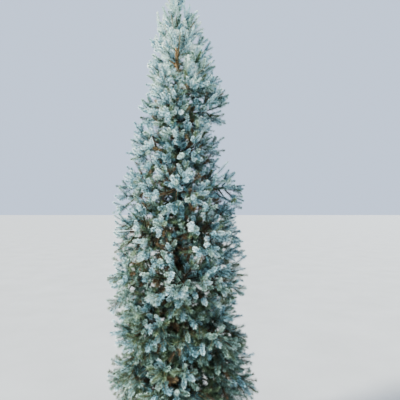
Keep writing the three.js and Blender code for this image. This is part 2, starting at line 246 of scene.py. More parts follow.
# Shoots: a finger is this year's growth at the end of each twig and at the nodes behind it. Its
# length, how much it turns up and how frosty it is go with its height
FINGER_LENGTHS = ([430, 900, 1200, 2150, 2450, 2700, 2930], [112, 97, 58, 66, 96, 140, 190])
FINGER_LIFTS = ([430, 900, 1200, 2200, 2560, 2680], [-0.3, -0.2, 0.25, 0.35, 0.5, 0.6])
FINGER_FROSTS = ([430, 800, 1150, 1750, 2150, 2500], [-0.1, -0.09, -0.02, 0, 0.04, 0.14])
# How much the painted shade of older and inner shoots is lightened, by height
PAINTED_SHADE_LIFTS = ([1300, 2000, 2500], [0.02, 0.1, 0.42])
FINGER_SHARE = 0.62
FINGER_LEAST = 38
FINGER_SPREAD = 0.2
SIDE_FINGER_LEAN = math.radians(47)
SIDE_FINGER_LEAN_SPREAD = math.radians(9)
SIDE_FINGER_SHARES = (0.9, 0.76, 0.62)
SIDE_FINGER_OUTWARD = 0.5
FINGER_GAPS = ([900, 1200, 2200, 2500], [22, 20.5, 20.5, 22])
SIDE_FINGER_CHECKS = (0.7, 1.0)
SIDE_FINGER_BARE_SHARE = 0.04
SIDE_FINGER_ROOM_FROM = 0.4
NODE_SPACING = 33
NODE_SHOOTS = (5, 4, 3)
NODE_LEAST_SHARE = 0.5
KEYS_A_TWIG = 20
KEYS_A_NODE = 5
STALK_BARE_SHARE = 0.12
LEAST_SPAN = 0.03
STEM_NEEDLES_FROM = 0.12
STEM_NEEDLES_PAST_BARE = 1.2
SHOOT_UPTURN = 0.07
TWIG_UPTURN = 0.1
TWIG_OUTTURN = 0.18

# Needles: how many a millimetre of shoot, how long and wide, how many degrees they lean from the shoot
# at its foot and behind its tip, and the share at the tip where they close into a dome. Each kind's shade
# value is how much darker a needle's foot is than its tip, painted shade under a painted highlight at
# the tip; on older and inner shoots, whose needles have one face, it darkens the whole needle as painted
# shade. frost is how frosty the kind is, from 0 to 1; the lower frost of the older and inner kinds is
# partly their duller older colour and partly painted shade deep in the crown. green and tan are the
# chances that such a shoot has a tint of that row
NeedleKind = namedtuple("NeedleKind", "density length width foot_lean tip_lean dome shade frost green tan")
NEEDLES = {
    "finger": NeedleKind(2.1, 19.5, 2.4, 74, 62, 0.2, 0.28, 0.56, 0, 0),
    "slender": NeedleKind(3.2, 19, 2.3, 60, 52, 0.14, 0.24, 0.6, 0, 0),
    "leader": NeedleKind(3.4, 26, 2.3, 50, 42, 0.1, 0.12, 0.6, 0, 0),
    "feathery": NeedleKind(1.25, 31, 1.8, 50, 38, 0.08, 0.2, 0.5, 0.06, 0),
    "older": NeedleKind(0.95, 24, 3.0, 62, 52, 0, 0.1, 0.43, 0.24, 0.28),
    "inner": NeedleKind(0.6, 28, 4.4, 62, 58, 0, 0.1, 0.32, 0.15, 0.34),
}

# The shares of the kinds and of the rows of tints, by height
LEADER_FROM = 2680
SLENDER_SHARES = ([2300, 2600], [0.0, 0.75])
FEATHERY_SHARES = ([600, 1000, 1200, 1400], [0.9, 0.8, 0.35, 0.0])
GREEN_SHARES = ([500, 900, 1250, 2300, 2600], [0.26, 0.22, 0.1, 0.06, 0.0])
GREY_SHARES = ([500, 900, 1250, 1700, 2300, 2700], [0.5, 0.48, 0.3, 0.2, 0.2, 0.3])
OLD_TINTS = ([2150, 2400], [1.0, 0.1])

# How each needle stands, and its outline
DOME_LEAN = math.radians(38)
DOME_CROWDING = 1.3
NEEDLE_MIDDLE = 0.62
NEEDLE_BEND = 0.07
NEEDLE_LIFT = 0.12
NEEDLE_TIP_CUT = 0.36
NEEDLE_TIP_POWER = 7
NEEDLE_LEAN_SPREAD = math.radians(7)
NEEDLE_TWIST = 0.9
NEEDLE_LENGTHS = (0.62, 1.08)
LEAST_NEEDLES = 8
NEEDLE_ROUGHNESS = 0.55
PIECE_TRIANGLES = 190_000

# Rows of tints, each from the dark end, partly painted shade inside the crown, to the frost at the tips
BLUE_TINTS = {
    "deep_blue": (37, 56, 54),
    "slate_green": (51, 75, 74),
    "dull_blue": (68, 98, 101),
    "blue_green": (86, 122, 126),
    "grey_blue": (104, 146, 152),
    "silver_blue": (126, 168, 176),
    "silver": (151, 192, 200),
    "pale_blue": (179, 212, 220),
    "frost": (207, 231, 234),
    "cream_frost": (236, 244, 234),
}
GREEN_TINTS = {
    "deep_olive": (44, 55, 42),
    "olive": (62, 75, 55),
    "moss": (80, 97, 72),
    "khaki": (104, 121, 92),
    "sage": (130, 153, 128),
    "pale_sage": (164, 190, 172),
}
TAN_TINTS = {
    "brown": (66, 54, 42),
    "dull_tan": (100, 84, 62),
    "straw": (140, 126, 96),
}
GREY_TINTS = {
    "deep_grey_green": (40, 54, 47),
    "dark_grey_green": (57, 76, 68),
    "dull_grey_green": (79, 103, 94),
    "grey_green": (105, 133, 122),
    "soft_grey_green": (134, 163, 152),
    "silver_green": (168, 195, 186),
    "frosted_green": (206, 226, 217),
}
TINT_ROWS = (BLUE_TINTS, GREEN_TINTS, TAN_TINTS, GREY_TINTS)
BLUE, GREEN, TAN, GREY = range(4)

# What else a needle's tint goes by: how far out its shoot stands, partly the frost of outer growth and
# partly painted shade inward; chance; its place along a finger, painted darker as shade at the foot and
# lighter as a highlight at the tip; and its length, long needles at the outline painted lighter as a
# highlight and short ones darker as shade
OUTWARD_FROST_AND_PAINTED_SHADE = 0.22
FROST_SPREAD = 0.15
FROST_OF_NEEDLE = 0.17
FINGER_PAINTED_SHADES = (-0.16, 0.1)
LENGTH_PAINTED_LIGHT = 0.5


# Numbers and vectors
NEARLY_UPRIGHT = 0.95
CURVE_STEPS = 40


def chance(*keys):
    """A seeded number from 0 to 1, as in the part's source. The last key says which draw it is."""
    mask = 0xFFFFFFFF
    value = SEED
    for key in keys:
        value = ((value ^ ((key + 0x9E3779B9) & mask)) * 0x85EBCA6B) & mask
        value = ((value ^ (value >> 13)) * 0xC2B2AE35) & mask
        value ^= value >> 16
    return value / 2**32


def spread(amount, *keys):
    return amount * (2 * chance(*keys) - 1)


def lerp(start, end, share):
    return start + (end - start) * share


def unit(vectors):
    return vectors / np.linalg.norm(vectors, axis=-1, keepdims=True)


def square_to(directions):
    """Two directions square to each direction, the first of them level where it can be."""
    steep = np.abs(directions[..., 2:3]) > NEARLY_UPRIGHT
    guide = np.where(steep, np.array([1.0, 0.0, 0.0]), UP)
    side = unit(np.cross(guide, directions))
    return side, unit(np.cross(directions, side))


def curve_point(curves, shares):
    """Points of quadratic curves, each given by its foot, bow and tip."""
    foot, bow, tip = (curves[..., k, :] for k in range(3))
    share = np.asarray(shares)[..., None]
    return (1 - share) ** 2 * foot + 2 * share * (1 - share) * bow + share**2 * tip


def curve_tangent(curves, shares):
    foot, bow, tip = (curves[..., k, :] for k in range(3))
    share = np.asarray(shares)[..., None]
    return unit((1 - share) * (bow - foot) + share * (tip - bow))


def curve_length(curves):
    points = curve_point(curves[..., None, :, :], np.linspace(0, 1, CURVE_STEPS + 1))
    return np.linalg.norm(np.diff(points, axis=-2), axis=-1).sum(-1)


def line_distances(points, starts, ends):
    """Distance from each point to each straight line."""
    ways = ends - starts
    from_start = points[:, None] - starts
    shares = ((from_start * ways).sum(-1) / (ways**2).sum(-1)).clip(0, 1)
    return np.linalg.norm(from_start - shares[..., None] * ways, axis=-1)


# Trunk and stems, as in the part's source
def trunk_line(share):
    sway = TRUNK_SWAY * np.sin(share * 2 * np.pi * TRUNK_SWAY_TURNS) * share
    height = lerp(SOIL_HEIGHT + CLEARANCE, TRUNK_TOP, share)
    return np.stack([sway, -sway * TRUNK_SWAY_BACK, height], axis=-1)


def trunk_share(height):
    return (height - SOIL_HEIGHT - CLEARANCE) / (TRUNK_TOP - SOIL_HEIGHT - CLEARANCE)


def trunk_radius(share):
    taper = lerp(TRUNK_FOOT_RADIUS, TRUNK_TOP_RADIUS, share)
    height = share * (TRUNK_TOP - SOIL_HEIGHT)
    return taper + ROOT_FLARE * np.exp(-height / ROOT_FLARE_HEIGHT)


def bough_stem(w, b):
    """A bough's curve from the trunk's axis to its tip, with what its twigs go by."""
    whorl = WHORLS[w]
    azimuth = math.radians(whorl.turn) + b * 2 * math.pi / whorl.boughs + spread(TURN_SPREAD, w, b, 1)
    outward = np.array([math.cos(azimuth), math.sin(azimuth), 0.0])
    even = (whorl.right + whorl.left) / 2 + (whorl.right - whorl.left) / 2 * outward[0]
    reach = even * (1 + spread(REACH_SPREAD, w, b, 2) * abs(outward[1]))
    foot = trunk_line(trunk_share(whorl.height))
    tip = outward * reach + UP * (whorl.height + whorl.rise)
    bow = (foot + tip) / 2 + UP * (reach - 2 * whorl.rise) * BOUGH_ARCH
    return SimpleNamespace(
        curve=np.array([foot, bow, tip]),
        reach=reach,
        steepness=max(0, whorl.rise / reach),
        bare=BOUGH_BARE_SHARE if whorl.bare else 0,
        foot_radius=max(BOUGH_LEAST_FOOT, BOUGH_FOOT_SHARE * trunk_radius(trunk_share(whorl.height))),
        size=min(max((whorl.left + whorl.right) / 2 / FULL_SIZE_REACH, LEAST_SPRAY_SIZE), 1),
    )


def leader_stem():
    foot = trunk_line(1.0) + UP * CLEARANCE
    tip = np.array([foot[0], foot[1], TIP_HEIGHT])
    return SimpleNamespace(curve=np.array([foot, (foot + tip) / 2, tip]), bare=0)


BOUGHS = [bough_stem(w, b) for w, whorl in enumerate(WHORLS) for b in range(whorl.boughs)]
LEADER = leader_stem()
STEMS = [*BOUGHS, LEADER]
for number, stem in enumerate(STEMS):
    stem.number = number
    stem.line = curve_point(stem.curve, np.linspace(0, 1, STEM_PIECES + 1))
    stem.limb_line = curve_point(stem.curve, np.array([0, 0.5, 1]) * stem.bare)
STEM_LINE_STARTS = np.concatenate([stem.line[:-1] for stem in STEMS])
STEM_LINE_ENDS = np.concatenate([stem.line[1:] for stem in STEMS])


def in_own_space(stem, points, margin):
    """Whether every point is nearer to its own stem than to any other, by a margin."""
    distances = line_distances(points, STEM_LINE_STARTS, STEM_LINE_ENDS)
    distances = distances.reshape(len(points), len(STEMS), STEM_PIECES).min(-1)
    own = distances[:, stem.number].copy()
    distances[:, stem.number] = np.inf
    return bool((distances.min(-1) > own + margin).all())


def clear_of_trunk(points):
    shares = trunk_share(points[:, 2])
    axis = trunk_line(shares)
    gaps = np.hypot(points[:, 0] - axis[:, 0], points[:, 1] - axis[:, 1])
    return bool(((shares > 1) | (gaps > trunk_radius(shares) + LIMB_MARGIN)).all())


def clear_of_limbs(stem, points):
    if not clear_of_trunk(points) or points[:, 2].min() <= POT_HEIGHT + LIMB_MARGIN:
        return False
    if not stem.bare:
        return True
    gaps = line_distances(points, stem.limb_line[:-1], stem.limb_line[1:])
    return bool(gaps.min() > stem.foot_radius + LIMB_MARGIN)


def crown_outline():
    """Heights from the top down, and the crown's reach at each on its left and right."""
    rows = [(whorl.height + whorl.rise, whorl.left, whorl.right) for whorl in WHORLS]
    rows = [(TIP_HEIGHT, TIP_REACH, TIP_REACH), *rows, (POT_HEIGHT, *rows[-1][1:])]
    return np.array(rows, float)


OUTLINE = crown_outline()


def crown_reach(point):
    height, azimuth = point[2], math.atan2(point[1], point[0])
    if height >= TIP_HEIGHT or height <= POT_HEIGHT:
        return 0
    left, right = (np.interp(height, OUTLINE[::-1, 0], OUTLINE[::-1, k]) for k in (1, 2))
    return (right + left) / 2 + (right - left) / 2 * math.cos(azimuth)


def in_crown(point):
    return math.hypot(point[0], point[1]) <= crown_reach(point)


def edge_reach(point):
    """The reach of the crown's edge at a point's height and on its side."""
    heights, lefts, rights = np.array(EDGE, float)[::-1].T
    left, right = np.interp(point[2], heights, lefts), np.interp(point[2], heights, rights)
    across = point[0] / max(math.hypot(point[0], point[1]), 1)
    return min((right + left) / 2 + (right - left) / 2 * across, crown_reach(point))


def in_window(point):
    """Whether a point hides the stretch of trunk that shows at the front."""
    low, high = WINDOW_HEIGHTS
    height = point[2] - WINDOW_SLOPE * point[1]
    return low < height < high and point[1] < 0 and abs(point[0] - WINDOW_MIDDLE) < WINDOW_HALF


def clear_of_window(points):
    return not any(in_window(point) for point in points)


def hides_trunk(shoot):
    """Whether a shoot's needles would hide the trunk where it shows."""
    points = [curve_point(shoot.curve, lerp(*shoot.span, share)) for share in WINDOW_CHECKS]
    return not clear_of_window(points)


def in_edge(point):
    return math.hypot(point[0], point[1]) <= edge_reach(point) + EDGE_MARGIN


# The source's twigs
def spray_corners(spray):
    """Corners of the toothed solid that stands for a spray in the source."""
    length = np.linalg.norm(spray.end - spray.start)
    direction = (spray.end - spray.start) / length
    side, rise = square_to(direction)
    stalk = length * spray.bare
    core = (length - stalk) * CORE_SHARE
    core_radius = CORE_RADIUS * spray.size
    tiers = max(1, int(core / (TIER_LENGTH * spray.size) + 0.5))
    rings = [(0, TWIG_RADIUS * spray.size)]
    if spray.bare > 0:
        rings.append((stalk, (TWIG_RADIUS + TWIG_NEEDLES) * spray.size))
    first_tier = len(rings)
    rings += [(stalk + core * k / tiers, core_radius - k * CORE_TAPER) for k in range(1, tiers + 1)]
    reach = SPRAY_NEEDLE_LENGTH * spray.size
    corners = [(along, radius, 0) for along, radius in rings]
    for ring in range(first_tier, len(rings)):
        middle = (rings[ring - 1][0] + rings[ring][0]) / 2
        along = middle + reach * math.cos(SPRAY_NEEDLE_LEAN)
        corners.append((along, core_radius / 2 + reach * math.sin(SPRAY_NEEDLE_LEAN), 0.5))
    along, radius, turn = np.repeat(np.array(corners), 3, axis=0).T
    angle = spray.roll + (turn + np.tile(np.arange(3), len(corners))) * 2 * math.pi / 3
    ring_points = (
        spray.start
        + along[:, None] * direction
        + (radius * np.cos(angle))[:, None] * side
        + (radius * np.sin(angle))[:, None] * rise
    )
    return np.vstack([ring_points, spray.end])


def spray_point(spray, share):
    return lerp(spray.start, spray.end, lerp(spray.bare, 1, share))


def apart(placed, spray):
    """Whether a spray stands apart from those that its mass already has."""
    starts = np.array([spray_point(other, 0) for other in placed])
    ends = np.array([other.end for other in placed])
    points = np.array([spray_point(spray, share) for share in (MIDDLE_OF_SPRAY, 1)])
    return line_distances(points, starts, ends).min() > SPRAY_SPACING * spray.size


def twig_end(start, way, lean, roll, length):
    side, rise = square_to(way)
    across = math.cos(roll) * side + math.sin(roll) * rise
    return start + length * (math.cos(lean) * way + math.sin(lean) * across)


def source_twig(stem, placed, place, longest):
    """The longest twig with a spray, from a place on its stem, that fits the space."""
    for step in range(SHRINK_STEPS):
        length = lerp(longest, SPRAY_SHORTEST * stem.size, step / (SHRINK_STEPS - 1))
        end = twig_end(place.start, place.way, place.lean, place.roll, length)
        bare = max(TWIG_BARE_SHARE, 1 - SPRAY_LENGTH * stem.size / length)
        roll = 2 * math.pi * chance(place.key, 9)
        spray = SimpleNamespace(
            start=place.start, end=end, bare=bare, roll=roll, size=stem.size, stem=stem, key=place.key
        )
        corners = spray_corners(spray)
        fits = in_crown(end) and clear_of_limbs(stem, corners)
        if fits and in_own_space(stem, corners, 2 * SPACE_MARGIN) and apart(placed, spray):
            return spray
    return None


def twig_place(stem, share, roll, key):
    """Where a twig leaves its stem, and how it leans."""
    sideways = abs(math.cos(roll))
    lean_share = 1 - STEEP_LEAN_CUT * stem.steepness
    return SimpleNamespace(
        start=curve_point(stem.curve, share),
        way=curve_tangent(stem.curve, share),
        roll=roll,
        key=key,
        lean=lean_share * lerp(TWIG_RISE_LEAN, TWIG_SIDE_LEAN, sideways),
        longest=TWIG_LEAST + stem.reach * lerp(TWIG_RISE_LENGTH, TWIG_SIDE_LENGTH, sideways),
    )


def source_twigs(stem):
    """A bough's twigs, from the spray at its tip back to the trunk."""
    start, end = curve_point(stem.curve, np.array([TIP_SPRAY_START, 1.0]))
    key = stem.number * KEYS_A_STEM + KEYS_A_STEM - 1
    placed = [SimpleNamespace(start=start, end=end, bare=0, stem=stem, key=key)]
    stem_length = curve_length(stem.curve) * (STEM_SHARE - stem.bare)
    twigs = int(stem_length * stem.size / TWIG_SPACING)
    for twig in range(twigs):
        share = lerp(STEM_SHARE, stem.bare, (twig + 0.5) / twigs)
        key = stem.number * KEYS_A_STEM + twig
        roll = twig * GOLDEN_ANGLE + spread(TWIG_ROLL_SPREAD, key, 3)
        place = twig_place(stem, share, roll, key)
        spray = source_twig(stem, placed, place, place.longest)
        if spray:
            placed.append(spray)
    return placed


def leader_twigs():
    """The leader, and the slender shoots round its foot."""
    start, end = curve_point(LEADER.curve, np.array([LEADER_SPRAY_START, 1.0]))
    twigs = [SimpleNamespace(start=start, end=end, bare=0, stem=LEADER, key=SHELL_KEYS - 1)]
    start = LEADER.curve[0] + UP * LEADER_RADIUS
    for k in range(TOP_SHOOTS):
        turn = k * 2 * math.pi / TOP_SHOOTS + spread(TOP_SHOOT_TURN_SPREAD, k, 11)
        length = TOP_SHOOT_LENGTH * (1 + spread(TOP_SHOOT_SPREAD, k, 12))
        end = twig_end(start, UP, TOP_SHOOT_LEAN, turn, length)
        shoot = SimpleNamespace(start=start, end=end, bare=TOP_SHOOT_BARE_SHARE, stem=LEADER, key=k)
        twigs.append(shoot)
    return twigs


# Finer twigs and shoots, each kept clear of those already there
MOST_POINTS = 40_000
room = SimpleNamespace(starts=np.zeros((MOST_POINTS, 3)), ends=np.zeros((MOST_POINTS, 3)), count=0)
wood = SimpleNamespace(points=np.zeros((MOST_POINTS, 3)), count=0)


def take_room(start, end):
    room.starts[room.count] = start
    room.ends[room.count] = end
    room.count += 1


def has_room(points, gap):
    """Whether points stand clear of every twig and shoot so far."""
    taken = slice(0, room.count)
    return line_distances(points, room.starts[taken], room.ends[taken]).min() > gap


def add_wood_points(points):
    wood.points[wood.count : wood.count + len(points)] = points
    wood.count += len(points)


def add_wood_along(curve, first, last):
    """Places along a curve that further twigs may grow from."""
    count = max(2, int(curve_length(curve) * (last - first) / WOOD_STEP))
    add_wood_points(curve_point(curve, np.linspace(first, last, count)))


def outward_from(point):
    """The level direction from the tree's axis to a point."""
    return np.array([point[0], point[1], 0]) / max(math.hypot(point[0], point[1]), 1)


def shoot_curve(start, end, upturn, outturn):
    """A shoot that turns up and outwards towards its tip."""
    bend = upturn * UP + outturn * outward_from(end)
    return np.array([start, (start + end) / 2 - bend * np.linalg.norm(end - start), end])


def finger_length(height, key):
    return np.interp(height, *FINGER_LENGTHS) * (1 + spread(FINGER_SPREAD, key, 31))


def add_twig(start, end, bare, stem, key, kind="finger"):
    """A twig whose end shoot is of a kind. Its room and its wood are taken at once."""
    length = np.linalg.norm(end - start)
    curve = shoot_curve(start, end, TWIG_UPTURN, TWIG_OUTTURN)
    wanted = min(finger_length(end[2], key), max(FINGER_SHARE * (1 - bare) * length, FINGER_LEAST))
    if stem is LEADER:
        wanted = (1 - bare) * length
    node = 1 - min(wanted, TWIG_LONGEST_END * length) / length
    take_room(lerp(start, end, min(bare, TWIG_LATEST_ROOM)), end)
    add_wood_along(curve, TWIG_WOOD_FROM, max(node, TWIG_WOOD_LEAST_END))
    return SimpleNamespace(curve=curve, length=length, bare=bare, node=node, stem=stem, key=key, kind=kind)


def fine_twig(place, stem, longest):
    """The longest fine twig from a place that keeps to the crown and stands clear of the rest."""
    for step in range(SHRINK_STEPS):
        length = lerp(longest, FINE_SHORTEST, step / (SHRINK_STEPS - 1))
        end = twig_end(place.start, place.way, place.lean, place.roll, length)
        if not in_crown(end):
            continue
        points = np.array([lerp(place.start, end, share) for share in FINE_CHECKS])
        keeps = clear_of_limbs(stem, points) and in_own_space(stem, points[-1:], -FINE_MIX)
        if keeps and clear_of_window(points) and has_room(points, FINE_GAP):
            bare = max(TWIG_BARE_SHARE, 1 - SPRAY_LENGTH / length)
            return add_twig(place.start, end, bare, stem, place.key)
    return None


def fine_twigs(stem):
    """Fine twigs from a bough's tip back to the trunk."""
    found = []
    twigs = int(curve_length(stem.curve) * (1 - stem.bare) / FINE_SPACING)
    for twig in range(twigs):
        share = lerp(FINE_LAST_SHARE, stem.bare, (twig + 0.5) / twigs)
        key = FINE_KEYS + stem.number * KEYS_A_STEM + twig
        roll = twig * GOLDEN_ANGLE + spread(TWIG_ROLL_SPREAD, key, 3)
        place = twig_place(stem, share, roll, key)
        longest = min(place.longest, max(FINE_SHORTEST, stem.reach * (FINE_TAPER - share)))
        found.append(fine_twig(place, stem, longest))
    return [twig for twig in found if twig]


def nearest_stem(point):
    distances = line_distances(point[None], STEM_LINE_STARTS, STEM_LINE_ENDS)
    return STEMS[int(distances.reshape(len(STEMS), STEM_PIECES).min(-1).argmin())]


def hollow(point):
    """How hollow the crown is round a point: 0 where it is full, and more where it draws in."""
    swell = noise.noise(Vector(point) / HOLLOW_WIDTH) - HOLLOW_FROM
    return HOLLOW_DEPTH * max(0, swell)


def shell_kind(shell, height, drawn_in):
    """The kind of the twig at a place in a shell. Near the top, all are fingers."""
    if height > SHELL_FINGERS_FROM:
        return "finger"
    return "older" if drawn_in > DEEP_HOLLOW and shell.kind == "finger" else shell.kind


def shell_points(shell, number):
    """Places spread over a shell of the crown, from the top down, each with a key and a kind."""
    points = []
    rows = int((SHELL_TOP - SHELL_FOOT) / shell.spacing / SHELL_ROW_SPACING)
    for row in range(rows):
        height = lerp(SHELL_TOP, SHELL_FOOT, row / (rows - 1))
        around = max(3, round(2 * math.pi * shell.depth * crown_reach((0, 1, height)) / shell.spacing))
        for k in range(around):
            key = SHELL_KEYS + number * KEYS_A_SHELL + row * KEYS_A_ROW + k
            azimuth = (k + row % 2 / 2 + spread(SHELL_TURN_SPREAD, key, 1)) * 2 * math.pi / around
            rise = height + spread(SHELL_RISE_SPREAD * shell.spacing, key, 2)
            outward = np.array([math.cos(azimuth), math.sin(azimuth), 0])
            place = outward * shell.depth * edge_reach(outward + UP * rise) + UP * rise
            drawn_in = hollow(place)
            depth = min(1 + spread(SHELL_DEPTH_SPREAD, key, 3) - drawn_in, SHELL_DEEPEST / shell.depth)
            kind = shell_kind(shell, rise, drawn_in)
            points.append((place * np.array([depth, depth, 1]), key, kind))
    return points


def fill_twig(end, key, kind, gap):
    """A twig to a place from the nearest wood that it can grow outwards from."""
    if in_window(end) or not has_room(end[None], gap):
        return None
    ways = end - wood.points[: wood.count]
    lengths = np.linalg.norm(ways, axis=1)
    wanted = unit(outward_from(end) + np.interp(end[2], *FINGER_LIFTS) * UP)
    cosines = ways @ wanted / np.maximum(lengths, 1)
    usable = (cosines > FILL_LEAST_COSINE) & (lengths > FILL_LEAST) & (lengths < FILL_MOST)
    if not usable.any():
        return None
    costs = np.where(usable, lengths * (FILL_TURN_COST - cosines), np.inf)
    start = wood.points[int(costs.argmin())].copy()
    points = np.array([lerp(start, end, share) for share in FILL_CHECKS])
    stem = nearest_stem(end)
    if not clear_of_limbs(stem, points) or not clear_of_window(points):
        return None
    length = np.linalg.norm(end - start)
    return add_twig(start, end, max(TWIG_BARE_SHARE, 1 - SPRAY_LENGTH / length), stem, key, kind)


def trunk_twigs():
    """Short twigs, dark with painted shade, that hide the trunk all the way up except at the window."""
    found = []
    heights = np.arange(SHELL_FOOT, TRUNK_TOP - TRUNK_TWIG_LENGTHS[1], TRUNK_TWIG_SPACING)
    for k, height in enumerate(heights):
        key = TRUNK_KEYS + k
        start = trunk_line(trunk_share(height))
        size = min(1, edge_reach(start) / TRUNK_TWIG_FULL_REACH)
        length = max(lerp(*TRUNK_TWIG_LENGTHS, chance(key, 4)) * size, TRUNK_TWIG_LEAST)
        end = twig_end(start, UP, TRUNK_TWIG_LEAN, k * GOLDEN_ANGLE, length)
        if not in_window(end):
            found.append(add_twig(start, end, TWIG_BARE_SHARE, nearest_stem(end), key, "inner"))
    return found


def add_side_finger(start, end, kind, key):
    """A finger from a place on other wood, whose room is taken at once."""
    take_room(lerp(start, end, SIDE_FINGER_ROOM_FROM), end)
    curve = shoot_curve(start, end, SHOOT_UPTURN, 0)
    return SimpleNamespace(curve=curve, span=(SIDE_FINGER_BARE_SHARE, 1), kind=kind, key=key)


def top_fingers():
    """Fingers round the trunk's top, and the needles on the trunk's own top."""
    ends = trunk_line(trunk_share(np.array([TOP_NEEDLES_FOOT, TRUNK_TOP])))
    own = shoot_curve(*ends, 0, 0)
    fingers = [SimpleNamespace(curve=own, span=(0, 1), kind="finger", key=TOP_KEYS)]
    for k in range(TOP_FINGERS):
        key = TOP_KEYS + 1 + k
        start = trunk_line(trunk_share(lerp(*TOP_FINGER_HEIGHTS, k / (TOP_FINGERS - 1))))
        length = TOP_FINGER_LENGTH * (1 + spread(FINGER_SPREAD, key, 31))
        end = twig_end(start, UP, TOP_FINGER_LEAN, k * GOLDEN_ANGLE, length)
        fingers.append(add_side_finger(start, end, "finger", key))
    return fingers


def tall_fingers():
    """The fingers that stand out at the top, each on a stalk from the wood below its foot."""
    stalks = []
    fingers = []
    for k, (foot, tip) in enumerate(np.array(TALL_FINGERS, float)):
        points = wood.points[: wood.count]
        away = np.linalg.norm(points - foot, axis=1)
        start = points[np.where(points[:, 2] < foot[2], away, np.inf).argmin()].copy()
        key = TALL_KEYS + k
        stalks.append(add_twig(start, foot, TWIG_BARE_SHARE, nearest_stem(foot), key, "older"))
        take_room(foot, tip)
        curve = shoot_curve(foot, tip, SHOOT_UPTURN, 0)
        fingers.append(SimpleNamespace(curve=curve, span=(0, 1), kind="finger", key=key))
    return stalks, fingers


def fill_twigs():
    """Twigs up the trunk, and then those that fill the shells from outside inwards."""
    found = trunk_twigs()
    for number, shell in enumerate(SHELLS):
        places = shell_points(shell, number)
        found += [fill_twig(point, key, kind, shell.gap) for point, key, kind in places]
    return [twig for twig in found if twig]


def twig_shoots(twig):
    """The stalk, the older wood and the end shoot of a twig, as stretches of one curve."""
    stalk = min(twig.bare, twig.node)
    stretches = [
        ((twig.node, 1), twig.kind),
        ((stalk, twig.node), "older"),
        ((STALK_BARE_SHARE * stalk, stalk), "inner"),
    ]
    return [
        SimpleNamespace(curve=twig.curve, span=span, kind=kind, key=twig.key)
        for span, kind in stretches
        if span[1] - span[0] > LEAST_SPAN
    ]


def side_finger(twig, share, roll, key):
    """The longest finger at a node that stands clear of the others."""
    start = curve_point(twig.curve, share)
    way = curve_tangent(twig.curve, share)
    lean = SIDE_FINGER_LEAN + spread(SIDE_FINGER_LEAN_SPREAD, key, 33)
    aim = twig_end(start, way, lean, roll, 1.0) - start
    lift = np.interp(start[2], *FINGER_LIFTS)
    aim = unit(aim + lift * UP + SIDE_FINGER_OUTWARD * outward_from(start))
    for part in SIDE_FINGER_SHARES:
        length = max(part * finger_length(start[2], key), FINGER_LEAST)
        end = start + length * aim
        points = np.array([lerp(start, end, check) for check in SIDE_FINGER_CHECKS])
        of_source = twig.key < FINE_KEYS
        inside = in_edge(end) or of_source and in_crown(end)
        keeps = inside and clear_of_window(points) and clear_of_limbs(twig.stem, points)
        if keeps and has_room(points, np.interp(start[2], *FINGER_GAPS)):
            return add_side_finger(start, end, twig.kind, key)
    return None


def side_fingers(twig):
    """Fingers at the end shoot's foot and at nodes behind it, down to the stalk."""
    if twig.kind == "inner":
        return []
    found = []
    for rank, count in enumerate(NODE_SHOOTS):
        share = twig.node - rank * NODE_SPACING / twig.length
        if share < twig.bare * NODE_LEAST_SHARE:
            break
        if rank and hollow(curve_point(twig.curve, share)) > BARE_HOLLOW:
            continue
        phase = 2 * math.pi * chance(twig.key, 40 + rank)
        for k in range(count):
            key = twig.key * KEYS_A_TWIG + rank * KEYS_A_NODE + k
            found.append(side_finger(twig, share, phase + k * 2 * math.pi / count, key))
    return [finger for finger in found if finger]


def bough_shoot(stem):
    """The needles along a bough itself, of the inner kind, dark with painted shade."""
    span = (max(stem.bare * STEM_NEEDLES_PAST_BARE, STEM_NEEDLES_FROM), STEM_SHARE)
    return SimpleNamespace(curve=stem.curve, span=span, kind="inner", key=stem.number)


def grow_crown():
    """All twigs, and all shoots that have needles. Each kind grows round those before it."""
    sprays = [spray for stem in BOUGHS for spray in source_twigs(stem)] + leader_twigs()
    twigs = [add_twig(spray.start, spray.end, spray.bare, spray.stem, spray.key) for spray in sprays]
    side_shoots = [finger for twig in twigs for finger in side_fingers(twig)]
    for stem in BOUGHS:
        add_wood_along(stem.curve, max(stem.bare, BOUGH_WOOD_FROM), 1)
        twigs += fine_twigs(stem)
    add_wood_points(trunk_line(trunk_share(np.arange(SHELL_FOOT, TRUNK_TOP, WOOD_STEP))))
    stalks, tall = tall_fingers()
    side_shoots += tall + top_fingers()
    twigs += stalks + fill_twigs()
    side_shoots += [finger for twig in twigs[len(sprays) :] for finger in side_fingers(twig)]
    shoots = [part for twig in twigs for part in twig_shoots(twig)] + side_shoots
    shoots += [bough_shoot(stem) for stem in BOUGHS]
    return twigs, [shoot for shoot in shoots if not hides_trunk(shoot)]


# Meshes
def add_piece(name, points, faces, look, replaces=(), smooth=False):
    """A mesh on the tree's body. Points are in millimetres, and all faces have equally many corners."""
    mesh = bpy.data.meshes.new(name)
    points = np.asarray(points, float).reshape(-1, 3) * MM
    faces = np.asarray(faces, np.int32)
    mesh.vertices.add(len(points))
    mesh.vertices.foreach_set("co", points.ravel())
    mesh.loops.add(faces.size)
    mesh.loops.foreach_set("vertex_index", faces.ravel())
    mesh.polygons.add(len(faces))
    mesh.polygons.foreach_set("loop_start", np.arange(len(faces), dtype=np.int32) * faces.shape[1])
    mesh.polygons.foreach_set("use_smooth", np.full(len(faces), smooth))
    mesh.update(calc_edges=True)
    mesh.materials.append(look)
    piece = bpy.data.objects.new(name, mesh)
    bpy.context.scene.collection.objects.link(piece)
    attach(piece, BODY)
    if replaces:
        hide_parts(*replaces)


